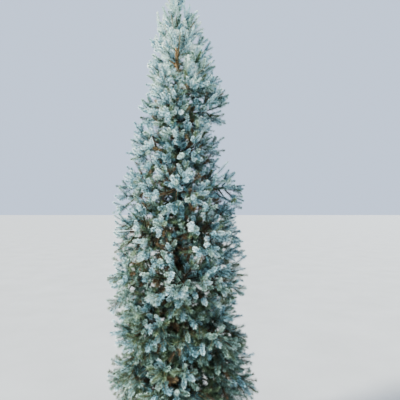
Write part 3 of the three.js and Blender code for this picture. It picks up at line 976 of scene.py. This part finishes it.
def tubes(curves, spans, radii, sides, steps):
    """Closed tapering tubes along stretches of curves, each with one frame all the way."""
    shares = np.linspace(spans[:, 0], spans[:, 1], steps + 1, axis=1)
    points = curve_point(curves[:, None], shares)
    ways = curve_tangent(curves[:, None], shares)
    side, _ = square_to(unit(curves[:, 2] - curves[:, 0]))
    rise = unit(np.cross(ways, side[:, None]))
    side = unit(np.cross(rise, ways))
    radius = np.linspace(radii[:, 0], radii[:, 1], steps + 1, axis=1)
    turns = np.arange(sides) * 2 * np.pi / sides
    ring = np.cos(turns)[:, None] * side[:, :, None] + np.sin(turns)[:, None] * rise[:, :, None]
    corners = points[:, :, None] + radius[:, :, None, None] * ring
    return corners.reshape(-1, 3), tube_faces(len(curves), sides, steps)


def wall_faces(sides, steps):
    """The triangles between rings of corners that follow one another."""
    ring = np.arange(sides)
    after = (ring + 1) % sides
    faces = []
    for step in range(steps):
        low, high = step * sides, (step + 1) * sides
        faces += [np.stack([low + ring, low + after, high + after], 1)]
        faces += [np.stack([low + ring, high + after, high + ring], 1)]
    return faces


def tube_faces(count, sides, steps):
    faces = wall_faces(sides, steps)
    fan = np.arange(1, sides - 1)
    top = steps * sides
    faces += [np.stack([0 * fan, fan + 1, fan], 1), top + np.stack([0 * fan, fan, fan + 1], 1)]
    one = np.concatenate(faces)
    offsets = np.arange(count) * (steps + 1) * sides
    return (one[None] + offsets[:, None, None]).reshape(-1, 3)


def lathe(profile, sides, wobble=0.0):
    """A closed turned mesh of triangles, from a profile that starts and ends on the axis."""
    profile = np.asarray(profile, float)
    turns = np.arange(sides) * 2 * np.pi / sides
    radius = profile[1:-1, 0][:, None] * (1 + wobble * np.cos(2 * turns + WOBBLE_TURN))[None]
    rings = np.stack(
        [radius * np.cos(turns), radius * np.sin(turns), np.repeat(profile[1:-1, 1:], sides, 1)], -1
    )
    points = np.vstack([rings.reshape(-1, 3), [0, 0, profile[0, 1]], [0, 0, profile[-1, 1]]])
    ring = np.arange(sides)
    after = (ring + 1) % sides
    faces = wall_faces(sides, len(profile) - 3)
    last = (len(profile) - 3) * sides
    foot, head = len(points) - 2, len(points) - 1
    faces += [np.stack([after, ring, 0 * ring + foot], 1)]
    faces += [np.stack([last + ring, last + after, 0 * ring + head], 1)]
    return points, np.concatenate(faces)


# Materials
def linear(colour):
    """An sRGB colour from 0 to 255 as Blender's linear one."""
    share = np.asarray(colour, float) / 255
    values = np.where(share <= 0.04045, share / 12.92, ((share + 0.055) / 1.055) ** 2.4)
    return (*values.tolist(), 1.0)


def new_look(name, roughness, specular=0.3):
    look = bpy.data.materials.new(name)
    look.use_nodes = True
    shader = look.node_tree.nodes["Principled BSDF"]
    shader.inputs["Roughness"].default_value = roughness
    shader.inputs["Specular IOR Level"].default_value = specular
    return look, shader


def plain_look(name, colour, roughness):
    look, shader = new_look(name, roughness)
    shader.inputs["Base Color"].default_value = linear(colour)
    return look


def noise_node(look, scale, stretch, detail, roughness=0.55):
    nodes, links = look.node_tree.nodes, look.node_tree.links
    place = nodes.new("ShaderNodeTexCoord")
    mapping = nodes.new("ShaderNodeMapping")
    mapping.inputs["Scale"].default_value = stretch
    texture = nodes.new("ShaderNodeTexNoise")
    texture.inputs["Scale"].default_value = scale
    texture.inputs["Detail"].default_value = detail
    texture.inputs["Roughness"].default_value = roughness
    links.new(place.outputs["Object"], mapping.inputs["Vector"])
    links.new(mapping.outputs["Vector"], texture.inputs["Vector"])
    return texture


def ramp_node(look, source, stops):
    ramp = look.node_tree.nodes.new("ShaderNodeValToRGB")
    elements = ramp.color_ramp.elements
    while len(elements) < len(stops):
        elements.new(0.5)
    for element, (position, colour) in zip(elements, stops):
        element.position = position
        element.color = linear(colour)
    look.node_tree.links.new(source, ramp.inputs["Fac"])
    return ramp


def add_grain(look, scale, stretch, detail, bump, distance):
    """A fine grain in relief."""
    nodes, links = look.node_tree.nodes, look.node_tree.links
    fine = noise_node(look, scale, stretch, detail)
    relief = nodes.new("ShaderNodeBump")
    relief.inputs["Strength"].default_value = bump
    relief.inputs["Distance"].default_value = distance
    links.new(fine.outputs["Fac"], relief.inputs["Height"])
    links.new(relief.outputs["Normal"], nodes["Principled BSDF"].inputs["Normal"])


def mottled_look(name, stops, scale, roughness, bump, stretch=(1, 1, 1), grain=6, distance=0.001):
    """A surface whose colour goes along a ramp by a noise, with a finer grain in relief."""
    look, shader = new_look(name, roughness)
    colour = noise_node(look, scale, stretch, detail=5)
    ramp = ramp_node(look, colour.outputs["Fac"], stops)
    look.node_tree.links.new(ramp.outputs["Color"], shader.inputs["Base Color"])
    add_grain(look, scale * grain, stretch, 4, bump, distance)
    return look


BARK_STOPS = [(0.3, (44, 37, 32)), (0.5, (68, 57, 47)), (0.62, (94, 79, 62)), (0.75, (112, 104, 92))]
YOUNG_BARK_STOPS = [(0.35, (128, 104, 78)), (0.55, (166, 140, 106)), (0.7, (192, 170, 138))]
YOUNG_BARK_HEIGHTS = (2100, 2400)
TWIG_STOPS = [(0.35, (86, 74, 50)), (0.55, (118, 104, 70)), (0.7, (146, 132, 96))]
SOIL_STOPS = [(0.35, (38, 27, 21)), (0.55, (66, 46, 34)), (0.7, (96, 72, 54))]
CHIP_STOPS = [(0.35, (96, 60, 42)), (0.55, (136, 92, 66)), (0.7, (168, 126, 96))]
PALE_CHIP_STOPS = [(0.35, (142, 116, 92)), (0.55, (182, 156, 128)), (0.7, (206, 188, 164))]
# The plastic's colours, from black to the pale grey of dust and of streaks of painted sheen
PLASTIC_DUST_AND_SHEEN_STOPS = [(0.4, (17, 20, 24)), (0.58, (30, 33, 37)), (0.75, (74, 74, 72))]
FLOOR_STOPS = [(0.3, (168, 168, 166)), (0.7, (176, 176, 174))]


def pot_look():
    """Black nursery plastic, with paler streaks down the wall, partly dust and partly painted sheen."""
    look, shader = new_look("pot_plastic", roughness=0.5, specular=0.4)
    nodes, links = look.node_tree.nodes, look.node_tree.links
    # Streaks stretched up the wall: partly dust, partly painted sheen; they also set the roughness
    dust_and_sheen = noise_node(look, scale=9, stretch=(1, 1, 0.35), detail=6, roughness=0.62)
    ramp = ramp_node(look, dust_and_sheen.outputs["Fac"], PLASTIC_DUST_AND_SHEEN_STOPS)
    links.new(ramp.outputs["Color"], shader.inputs["Base Color"])
    rough = nodes.new("ShaderNodeMapRange")
    for socket, value in (("From Min", 0.35), ("From Max", 0.75), ("To Min", 0.36), ("To Max", 0.8)):
        rough.inputs[socket].default_value = value
    links.new(dust_and_sheen.outputs["Fac"], rough.inputs["Value"])
    links.new(rough.outputs["Result"], shader.inputs["Roughness"])
    add_grain(look, scale=160, stretch=(1, 1, 1), detail=3, bump=0.12, distance=0.0006)
    return look


def bark_look():
    """Grey-brown bark that turns tan on the young wood near the top."""
    look = mottled_look("bark", BARK_STOPS, scale=42, roughness=0.9, bump=0.6, stretch=(1, 1, 0.5))
    nodes, links = look.node_tree.nodes, look.node_tree.links
    shader = nodes["Principled BSDF"]
    old = shader.inputs["Base Color"].links[0].from_socket
    mottling = noise_node(look, scale=60, stretch=(1, 1, 0.4), detail=4)
    young = ramp_node(look, mottling.outputs["Fac"], YOUNG_BARK_STOPS)
    height = nodes.new("ShaderNodeSeparateXYZ")
    links.new(nodes.new("ShaderNodeTexCoord").outputs["Object"], height.inputs["Vector"])
    share = nodes.new("ShaderNodeMapRange")
    share.inputs["From Min"].default_value = YOUNG_BARK_HEIGHTS[0] * MM
    share.inputs["From Max"].default_value = YOUNG_BARK_HEIGHTS[1] * MM
    links.new(height.outputs["Z"], share.inputs["Value"])
    mix = nodes.new("ShaderNodeMix")
    mix.data_type = "RGBA"
    links.new(share.outputs["Result"], mix.inputs["Factor"])
    links.new(old, mix.inputs["A"])
    links.new(young.outputs["Color"], mix.inputs["B"])
    links.new(mix.outputs["Result"], shader.inputs["Base Color"])
    return look


# Pot and soil
POT_SIDES = 144
ROUNDING = 1.8
EDGE_OVER_CUT = 2.2
RIDGES = (0.3, 0.46, 0.62)
RIDGE_HALF = 2.2
RIDGE_STEP = 1.8
POT_WOBBLE = 0.003
WOBBLE_TURN = 0.7
SOIL_SIDES = 96
SOIL_RINGS = 40
SOIL_RELIEF = 5
SOIL_RELIEF_LEVEL = 0.5
SOIL_RELIEF_SCALE = 0.03
SOIL_TOP_MARGIN = 1

# Chips of bark: their half sizes, how far in their corners stand, and how they lie
CHIPS = 1100
CHIP_SHARE_PALE = 0.22
CHIP_HALF_SIZES = ((5, 17), (3, 8), (0.8, 2.2))
CHIP_CORNER_SHARES = (0.62, 1)
CHIP_PILE = 7
CHIP_TILT = 0.22
CHIP_WALL_GAP = 12
CHIP_TRUNK_GAP = 4


def wall_radius(height):
    under_collar = POT_RIM_RADIUS - COLLAR_STEP - LIP_OVERHANG
    return lerp(POT_BASE_RADIUS, under_collar, height / POT_HEIGHT)


def rounded(points, radius):
    """A profile whose inner corners are turned into short arcs."""
    points = np.asarray(points, float)
    result = [points[0]]
    for before, corner, after in zip(points, points[1:], points[2:]):
        shorter = min(np.linalg.norm(corner - before), np.linalg.norm(after - corner))
        cut = min(radius, shorter / EDGE_OVER_CUT)
        start = corner + unit(before - corner) * cut
        end = corner + unit(after - corner) * cut
        for share in (0, 0.5, 1):
            result.append((1 - share) ** 2 * start + 2 * share * (1 - share) * corner + share**2 * end)
    return np.array([*result, points[-1]])


def collar_ridges(foot, head):
    """Low ridges round the collar, as points between its foot and head."""
    points = []
    for share in RIDGES:
        radius, height = lerp(np.array(foot, float), np.array(head, float), share)
        points += [
            (radius, height - RIDGE_HALF),
            (radius + RIDGE_STEP, height - RIDGE_HALF / 3),
            (radius + RIDGE_STEP, height + RIDGE_HALF / 3),
            (radius, height + RIDGE_HALF),
        ]
    return points


def pot_profile():
    collar_foot = POT_HEIGHT - COLLAR_HEIGHT
    ring_top = RING_HEIGHT + RING_WIDTH
    foot = (wall_radius(collar_foot) + COLLAR_STEP, collar_foot + EDGE_SLOPE)
    head = (POT_RIM_RADIUS - LIP_OVERHANG, POT_HEIGHT - LIP_HEIGHT)
    return [
        (0, 0),
        (POT_BASE_RADIUS, 0),
        (wall_radius(RING_HEIGHT), RING_HEIGHT),
        (wall_radius(RING_HEIGHT) + RING_STEP, RING_HEIGHT + EDGE_SLOPE),
        (wall_radius(ring_top) + RING_STEP, ring_top - EDGE_SLOPE),
        (wall_radius(ring_top), ring_top),
        (wall_radius(collar_foot), collar_foot),
        foot,
        *collar_ridges(foot, head),
        head,
        (POT_RIM_RADIUS, POT_HEIGHT - LIP_HEIGHT + EDGE_SLOPE),
        (POT_RIM_RADIUS, POT_HEIGHT - EDGE_SLOPE),
        (POT_RIM_RADIUS - EDGE_SLOPE, POT_HEIGHT),
        (wall_radius(POT_HEIGHT) - POT_WALL, POT_HEIGHT),
        (wall_radius(POT_FLOOR) - POT_WALL, POT_FLOOR),
        (0, POT_FLOOR),
    ]


def add_pot():
    points, faces = lathe(rounded(pot_profile(), ROUNDING), POT_SIDES, POT_WOBBLE)
    add_piece("pot_shell", points, faces, pot_look(), ["pot"], smooth=True)


def soil_top(x, y):
    """The height of the soil at a place, in millimetres."""
    radius = np.hypot(x, y)
    edge = wall_radius(SOIL_HEIGHT) - POT_WALL
    fall = np.clip((radius - SOIL_FLAT_RADIUS) / (edge - SOIL_FLAT_RADIUS), 0, 1)
    return SOIL_HEIGHT - SOIL_MOUND * fall


def add_soil():
    fit = POT_WALL + CLEARANCE
    bottom = POT_FLOOR + CLEARANCE
    edge = SOIL_HEIGHT - SOIL_MOUND
    radii = np.linspace(wall_radius(edge) - fit, 0, SOIL_RINGS)
    top = [(radius, soil_top(radius, 0)) for radius in radii]
    profile = [(0, bottom), (wall_radius(bottom) - fit, bottom), *top]
    points, faces = lathe(profile, SOIL_SIDES)
    for point in points:
        if point[2] > edge - SOIL_TOP_MARGIN:
            smoothness, finer, octaves = 0.8, 2.0, 5
            rough = noise.fractal(Vector(point) * SOIL_RELIEF_SCALE, smoothness, finer, octaves)
            point[2] += SOIL_RELIEF * (rough - SOIL_RELIEF_LEVEL)
    look = mottled_look("soil_mulch", SOIL_STOPS, scale=60, roughness=0.95, bump=0.8, distance=0.004)
    add_piece("soil_bed", points, faces, look, ["soil"])


def chip_corners(rng, count):
    """Flat bark chips that lie on the soil, as boxes with uneven corners."""
    edge = wall_radius(SOIL_HEIGHT) - POT_WALL - CHIP_WALL_GAP
    foot = TRUNK_FOOT_RADIUS + ROOT_FLARE + CHIP_TRUNK_GAP
    radius = np.sqrt(rng.uniform(foot**2, edge**2, count))
    turn = np.arange(count) * GOLDEN_ANGLE + rng.uniform(0, 1, count)
    x, y = radius * np.cos(turn), radius * np.sin(turn)
    centre = np.stack([x, y, soil_top(x, y) + rng.uniform(0, CHIP_PILE, count)], 1)
    half = np.stack([rng.uniform(*sizes, count) for sizes in CHIP_HALF_SIZES], 1)
    signs = np.array([[i, j, k] for i in (-1, 1) for j in (-1, 1) for k in (-1, 1)], float)
    corners = signs[None] * half[:, None] * rng.uniform(*CHIP_CORNER_SHARES, (count, *signs.shape))
    heading = rng.uniform(0, 2 * np.pi, count)
    tilt = rng.normal(0, CHIP_TILT, (count, 2))
    c, s = np.cos(heading)[:, None], np.sin(heading)[:, None]
    along, across, up = np.moveaxis(corners, -1, 0)
    turned = np.stack([along * c - across * s, along * s + across * c, up], -1)
    turned[..., 2] += turned[..., 0] * tilt[:, :1] + turned[..., 1] * tilt[:, 1:]
    return centre[:, None] + turned


CHIP_FACES = np.array(
    [(0, 1, 3, 2), (4, 6, 7, 5), (0, 4, 5, 1), (2, 3, 7, 6), (0, 2, 6, 4), (1, 5, 7, 3)]
)


def add_chips():
    rng = np.random.default_rng(SEED)
    corners = chip_corners(rng, CHIPS)
    pale = rng.uniform(0, 1, CHIPS) < CHIP_SHARE_PALE
    kinds = [("bark_chips", ~pale, CHIP_STOPS), ("pale_chips", pale, PALE_CHIP_STOPS)]
    for name, chosen, stops in kinds:
        some = corners[chosen]
        firsts = corners.shape[1] * np.arange(len(some))
        faces = (CHIP_FACES[None] + firsts[:, None, None]).reshape(-1, 4)
        look = mottled_look(name, stops, scale=90, roughness=0.9, bump=0.5)
        add_piece(name, some.reshape(-1, 3), faces, look)


# Bark
TRUNK_SIDES = 44
TRUNK_RING = 9
BOUGH_SIDES = 9
BOUGH_RINGS = 28
BOUGH_END = 0.97
PLATE_WIDTH = 13
PLATE_HEIGHT = 24
PLATE_STEEPNESS = 3.2
PLATE_LEVEL = 0.6
GRAIN_SCALE = 3.1
GRAIN_SHARE = 0.35
RELIEF_SHARE = 0.085
NODE_SWELLING = 2.6
NODE_LENGTH = 15
BOUGH_COLLAR = 0.55
BOUGH_COLLAR_LENGTH = 12


def bark_relief(point, radius):
    """How far the bark stands out at a point: plates between cracks, with a finer grain."""
    place = Vector((point[0] / PLATE_WIDTH, point[1] / PLATE_WIDTH, point[2] / PLATE_HEIGHT))
    nearest, second = noise.voronoi(place)[0][:2]
    plate = min(1, (second - nearest) * PLATE_STEEPNESS)
    grain = noise.noise(place * GRAIN_SCALE)
    return RELIEF_SHARE * radius * (plate - PLATE_LEVEL + GRAIN_SHARE * grain)


def add_relief(rings, centres, radii):
    for ring, centre, radius in zip(rings, centres, radii):
        for point in ring:
            out = Vector(point - centre).normalized()
            point += np.array(out) * bark_relief(point, radius)


def add_trunk(look):
    shares = np.linspace(0, 1, int((TRUNK_TOP - SOIL_HEIGHT) / TRUNK_RING))
    centres = trunk_line(shares)
    radii = trunk_radius(shares)
    for whorl in WHORLS:
        radii = radii + NODE_SWELLING * np.exp(-(((centres[:, 2] - whorl.height) / NODE_LENGTH) ** 2))
    turns = np.arange(TRUNK_SIDES) * 2 * np.pi / TRUNK_SIDES
    ring = np.stack([np.cos(turns), np.sin(turns), 0 * turns], 1)
    rings = centres[:, None] + radii[:, None, None] * ring[None]
    add_relief(rings, centres, radii)
    faces = tube_faces(1, TRUNK_SIDES, len(shares) - 1)
    add_piece("trunk_bark", rings.reshape(-1, 3), faces, look, ["trunk"], smooth=True)


def add_boughs(look):
    curves = np.array([stem.curve for stem in BOUGHS])
    spans = np.tile([0, BOUGH_END], (len(BOUGHS), 1))
    radii = np.array([[stem.foot_radius, BOUGH_TIP_RADIUS] for stem in BOUGHS])
    points, faces = tubes(curves, spans, radii, BOUGH_SIDES, BOUGH_RINGS)
    rings = points.reshape(len(BOUGHS), BOUGH_RINGS + 1, BOUGH_SIDES, 3)
    shares = np.linspace(0, BOUGH_END, BOUGH_RINGS + 1)
    for stem, stem_rings, (foot, tip) in zip(BOUGHS, rings, radii):
        centres = curve_point(stem.curve, shares)
        along = shares * curve_length(stem.curve)
        collar = 1 + BOUGH_COLLAR * np.exp(-np.maximum(along - foot, 0) / BOUGH_COLLAR_LENGTH)
        stem_rings[:] = centres[:, None] + (stem_rings - centres[:, None]) * collar[:, None, None]
        add_relief(stem_rings, centres, lerp(foot, tip, shares))
    limbs = [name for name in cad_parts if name.startswith("bough_")]
    add_piece("boughs_bark", rings.reshape(-1, 3), faces, look, limbs, smooth=True)


# Twigs and buds
TWIG_FOOT_RADIUS = 1.6
TWIG_THICKENING = 0.012
TWIG_TIP_RADIUS = 1.7
SHOOT_RADIUS = 1.5
SHOOT_TAPER = 0.7
BUD_SIDES = 4
BUD_LENGTH = 9
BUD_RADIUS = 3
BUD_FOOT_SHARE = 0.5
BUD_POINT_SHARE = 0.8


def add_twigs(name, shoots, radii, look, replaces, sides, steps):
    curves = np.array([shoot.curve for shoot in shoots])
    spans = np.array([shoot.span for shoot in shoots], float)
    points, faces = tubes(curves, spans, radii, sides, steps)
    add_piece(name, points, faces, look, replaces, smooth=True)


def add_wood(twigs, shoots, masses):
    stalks = [SimpleNamespace(curve=twig.curve, span=(0, twig.node)) for twig in twigs]
    feet = [TWIG_FOOT_RADIUS + TWIG_THICKENING * twig.length for twig in twigs]
    radii = np.array([[foot, TWIG_TIP_RADIUS] for foot in feet])
    look = mottled_look("twig_bark", BARK_STOPS, scale=70, roughness=0.85, bump=0.5)
    add_twigs("twigs_old", stalks, radii, look, masses, sides=4, steps=2)
    fingers = [shoot for shoot in shoots if shoot.kind == "finger"]
    radii = np.tile([SHOOT_RADIUS, SHOOT_RADIUS * SHOOT_TAPER], (len(fingers), 1))
    look = mottled_look("young_twig_bark", TWIG_STOPS, scale=90, roughness=0.75, bump=0.3)
    add_twigs("twigs_young", fingers, radii, look, masses, sides=3, steps=1)
    add_buds([shoot for shoot in fingers if needle_kind(shoot) != "feathery"])


def add_buds(fingers):
    """A small pointed bud at the tip of each finger."""
    tips = np.array([shoot.curve[2] for shoot in fingers])
    ways = curve_tangent(np.array([shoot.curve for shoot in fingers]), np.ones(len(fingers)))
    side, rise = square_to(ways)
    turns = np.arange(BUD_SIDES) * 2 * np.pi / BUD_SIDES
    around = np.cos(turns)[:, None] * side[:, None] + np.sin(turns)[:, None] * rise[:, None]
    belly = tips[:, None] + BUD_RADIUS * around
    feet = tips - BUD_FOOT_SHARE * BUD_LENGTH * ways
    points = tips + BUD_POINT_SHARE * BUD_LENGTH * ways
    corners = np.concatenate([belly, feet[:, None], points[:, None]], 1)
    ring = np.arange(BUD_SIDES)
    after = (ring + 1) % BUD_SIDES
    foot, point = BUD_SIDES, BUD_SIDES + 1
    halves = [np.stack([ring, after, 0 * ring + point], 1), np.stack([after, ring, 0 * ring + foot], 1)]
    firsts = corners.shape[1] * np.arange(len(tips))
    faces = (np.concatenate(halves)[None] + firsts[:, None, None]).reshape(-1, 3)
    look = mottled_look("bud_scales", TWIG_STOPS, scale=240, roughness=0.6, bump=0.3)
    add_piece("buds", corners.reshape(-1, 3), faces, look, smooth=True)


# Needles
def frost_score(shoot, frost):
    """How frosty a shoot is, from its kind, its height, how far out it stands and chance."""
    tip = curve_point(shoot.curve, shoot.span[1])
    outward = min(1, math.hypot(tip[0], tip[1]) / max(crown_reach(tip), 1))
    # Shoots nearer the axis come out darker: partly the duller older growth, partly painted shade
    place = np.interp(tip[2], *FINGER_FROSTS) + OUTWARD_FROST_AND_PAINTED_SHADE * outward
    # Older and inner shoots, dark with painted shade, are lightened by height
    if shoot.kind != "finger":
        place += np.interp(tip[2], *PAINTED_SHADE_LIFTS)
    return frost + place + spread(FROST_SPREAD, shoot.key, 21)


def tint_row(shoot, kind):
    """The row of tints that a shoot takes, as its place in TINT_ROWS."""
    height = shoot.curve[2][2]
    green = np.interp(height, *GREEN_SHARES) + kind.green * np.interp(height, *OLD_TINTS)
    tan = kind.tan * np.interp(height, *OLD_TINTS)
    draw = chance(shoot.key, 22)
    if draw < green + tan:
        return GREEN if draw < green else TAN
    return GREY if draw < green + tan + np.interp(height, *GREY_SHARES) else BLUE


def needle_kind(shoot):
    """A shoot's kind of needles: slender shoots at the top, and feathery ones low in the crown."""
    height = shoot.curve[2][2]
    if shoot.kind != "finger":
        return shoot.kind
    if shoot.curve[0][2] > LEADER_FROM:
        return "leader"
    draw = chance(shoot.key, 23)
    if draw < np.interp(height, *SLENDER_SHARES):
        return "slender"
    return "feathery" if draw < np.interp(height, *FEATHERY_SHARES) else "finger"


def needle_places(shoots, kind, rng):
    """Which shoot each needle is on, its number there, and its place along it from 0 to 1."""
    curves = np.array([shoot.curve for shoot in shoots])
    spans = np.array([shoot.span for shoot in shoots], float)
    lengths = curve_length(curves) * (spans[:, 1] - spans[:, 0])
    counts = np.maximum(LEAST_NEEDLES, (lengths * kind.density).round().astype(int))
    which = np.repeat(np.arange(len(shoots)), counts)
    rank = np.arange(len(which)) - np.repeat(np.cumsum(counts) - counts, counts)
    place = (rank + rng.uniform(0, 1, len(which))) / counts[which]
    if kind.dome:
        place = 1 - (1 - place) ** DOME_CROWDING
    share = lerp(spans[which, 0], spans[which, 1], place)
    return which, rank, place, curve_point(curves[which], share), curve_tangent(curves[which], share)


def needle_faces(foot, tip, wing, bend, kind):
    """One face for a needle of an older or inner shoot, and a foot and a tip for a needle of a finger."""
    if not kind.dome:
        return np.stack([foot - wing, foot + wing, tip], 1)
    middle = lerp(foot, tip, NEEDLE_MIDDLE) + bend
    feet = np.stack([foot, middle + wing, middle - wing], 1)
    return np.concatenate([feet, np.stack([tip, middle - wing, middle + wing], 1)])


def needle_directions(which, rank, place, way, kind, rng):
    """Each needle's direction, and the direction straight out from its shoot."""
    side, rise = square_to(way)
    turn = rank * GOLDEN_ANGLE + which
    radial = np.cos(turn)[:, None] * side + np.sin(turn)[:, None] * rise
    lean = lerp(math.radians(kind.foot_lean), math.radians(kind.tip_lean), place)
    if kind.dome:
        closing = ((place - 1 + kind.dome) / kind.dome).clip(0, 1)
        lean = lerp(lean, DOME_LEAN, closing)
    lean += rng.normal(0, NEEDLE_LEAN_SPREAD, len(which))
    direction = np.cos(lean)[:, None] * way + np.sin(lean)[:, None] * radial
    return unit(direction + NEEDLE_LIFT * UP), radial


def tint_numbers(frost, rows):
    """Each needle's tint, counted through the rows one after another."""
    sizes = np.array([len(row) for row in TINT_ROWS])
    firsts = np.cumsum(sizes) - sizes
    steps = (frost * sizes[rows]).astype(int)
    return firsts[rows] + np.clip(steps, 0, sizes[rows] - 1)


def needle_tints(shoots, which, place, stretch, kind, rng):
    """The tint of each face. Where needles have a foot and a tip, all feet come first."""
    frost = np.array([frost_score(shoot, kind.frost) for shoot in shoots])[which]
    frost += rng.uniform(-FROST_OF_NEEDLE, FROST_OF_NEEDLE, len(which))
    # Longer needles are painted lighter as a highlight on the outline, shorter ones darker as shade
    frost += LENGTH_PAINTED_LIGHT * (stretch - np.mean(NEEDLE_LENGTHS))
    if kind.dome:
        # Painted shade at a finger's foot and a painted highlight at its tip
        frost += lerp(*FINGER_PAINTED_SHADES, place)
    rows = np.array([tint_row(shoot, kind) for shoot in shoots])[which]
    # Feet, and the one face of older and inner needles, are tinted darker as painted shade; tips keep the
    # lighter tint as a painted highlight
    painted_shades = (kind.shade, 0) if kind.dome else (kind.shade,)
    return np.concatenate([tint_numbers(frost - shade, rows) for shade in painted_shades])


def needle_corners(shoots, kind, rng):
    """The faces of every needle on some shoots of one kind, and the tint of each face."""
    which, rank, place, foot, way = needle_places(shoots, kind, rng)
    direction, radial = needle_directions(which, rank, place, way, kind, rng)
    stretch = rng.uniform(*NEEDLE_LENGTHS, len(which))
    length = kind.length * (1 - NEEDLE_TIP_CUT * place**NEEDLE_TIP_POWER) * stretch
    flat = unit(np.cross(direction, radial))
    twist = rng.uniform(-NEEDLE_TWIST, NEEDLE_TWIST, len(which))[:, None]
    flat = np.cos(twist) * flat + np.sin(twist) * np.cross(direction, flat)
    bend = np.cross(direction, flat) * (NEEDLE_BEND * length)[:, None]
    tip = foot + direction * length[:, None]
    corners = needle_faces(foot, tip, flat * kind.width / 2, bend, kind)
    return corners, needle_tints(shoots, which, place, stretch, kind, rng)


def add_needles(shoots, masses):
    """The needles of all shoots, in pieces of one tint each."""
    rng = np.random.default_rng(SEED + 1)
    groups = []
    for name, kind in NEEDLES.items():
        chosen = [shoot for shoot in shoots if needle_kind(shoot) == name]
        groups.append(needle_corners(chosen, kind, rng))
    corners = np.concatenate([group[0] for group in groups])
    tints = np.concatenate([group[1] for group in groups])
    for number, (name, colour) in enumerate(tint for row in TINT_ROWS for tint in row.items()):
        some = corners[tints == number]
        look = plain_look(f"needle_{name}", colour, NEEDLE_ROUGHNESS)
        for part, first in enumerate(range(0, len(some), PIECE_TRIANGLES)):
            points = some[first : first + PIECE_TRIANGLES].reshape(-1, 3)
            faces = np.arange(len(points)).reshape(-1, 3)
            add_piece(f"needles_{name}_{part + 1}", points, faces, look, masses)


# Studio
EYE = Vector((0.128, -2.32, 1.55))
LENS = 36
SENSOR_WIDTH = 36
CAMERA_PITCH = math.radians(1.43)
LIGHT_AIM = Vector((0, 0, 1.5))
SKY_COLOUR = (0.68, 0.8, 1.0, 1)
FLOOR_HALF = 120.0


def add_camera():
    data = bpy.data.cameras.new("camera")
    data.lens = LENS
    data.sensor_width = SENSOR_WIDTH
    camera = bpy.data.objects.new("camera", data)
    camera.location = EYE
    camera.rotation_euler = (math.pi / 2 + CAMERA_PITCH, 0, 0)
    bpy.context.scene.collection.objects.link(camera)
    bpy.context.scene.camera = camera


def add_sun(name, place, softness, power, colour):
    """A far soft light that shines from a place towards the tree."""
    data = bpy.data.lights.new(name, "SUN")
    data.angle = math.radians(softness)
    data.energy = power
    data.color = colour
    light = bpy.data.objects.new(name, data)
    light.location = place
    light.rotation_mode = "QUATERNION"
    light.rotation_quaternion = (LIGHT_AIM - Vector(place)).to_track_quat("-Z", "Y")
    bpy.context.scene.collection.objects.link(light)


def add_sky():
    world = bpy.data.worlds.new("studio")
    world.use_nodes = True
    sky = world.node_tree.nodes["Background"]
    sky.inputs["Color"].default_value = SKY_COLOUR
    sky.inputs["Strength"].default_value = 1.0
    bpy.context.scene.world = world
    bpy.context.scene.view_settings.look = "AgX - Medium High Contrast"


def add_floor():
    signs = ((-1, -1), (1, -1), (1, 1), (-1, 1))
    corners = [(x * FLOOR_HALF, y * FLOOR_HALF, 0) for x, y in signs]
    mesh = bpy.data.meshes.new("floor")
    mesh.from_pydata(corners, [], [(0, 1, 2, 3)])
    mesh.materials.append(mottled_look("floor_paint", FLOOR_STOPS, scale=1.5, roughness=0.9, bump=0.1))
    floor = bpy.data.objects.new("floor", mesh)
    bpy.context.scene.collection.objects.link(floor)


add_camera()
add_sky()
add_sun("key", place=(-4.8, -2.1, 4.5), softness=12, power=9.5, colour=(1.0, 0.99, 0.91))
add_sun("back", place=(2.6, 4.2, 3.6), softness=40, power=2.5, colour=(0.86, 0.93, 1.0))
add_floor()
add_pot()
add_soil()
add_chips()
bark = bark_look()
add_trunk(bark)
add_boughs(bark)
masses = [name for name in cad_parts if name.startswith("foliage_")]
twigs, shoots = grow_crown()
add_wood(twigs, shoots, masses)
add_needles(shoots, masses)
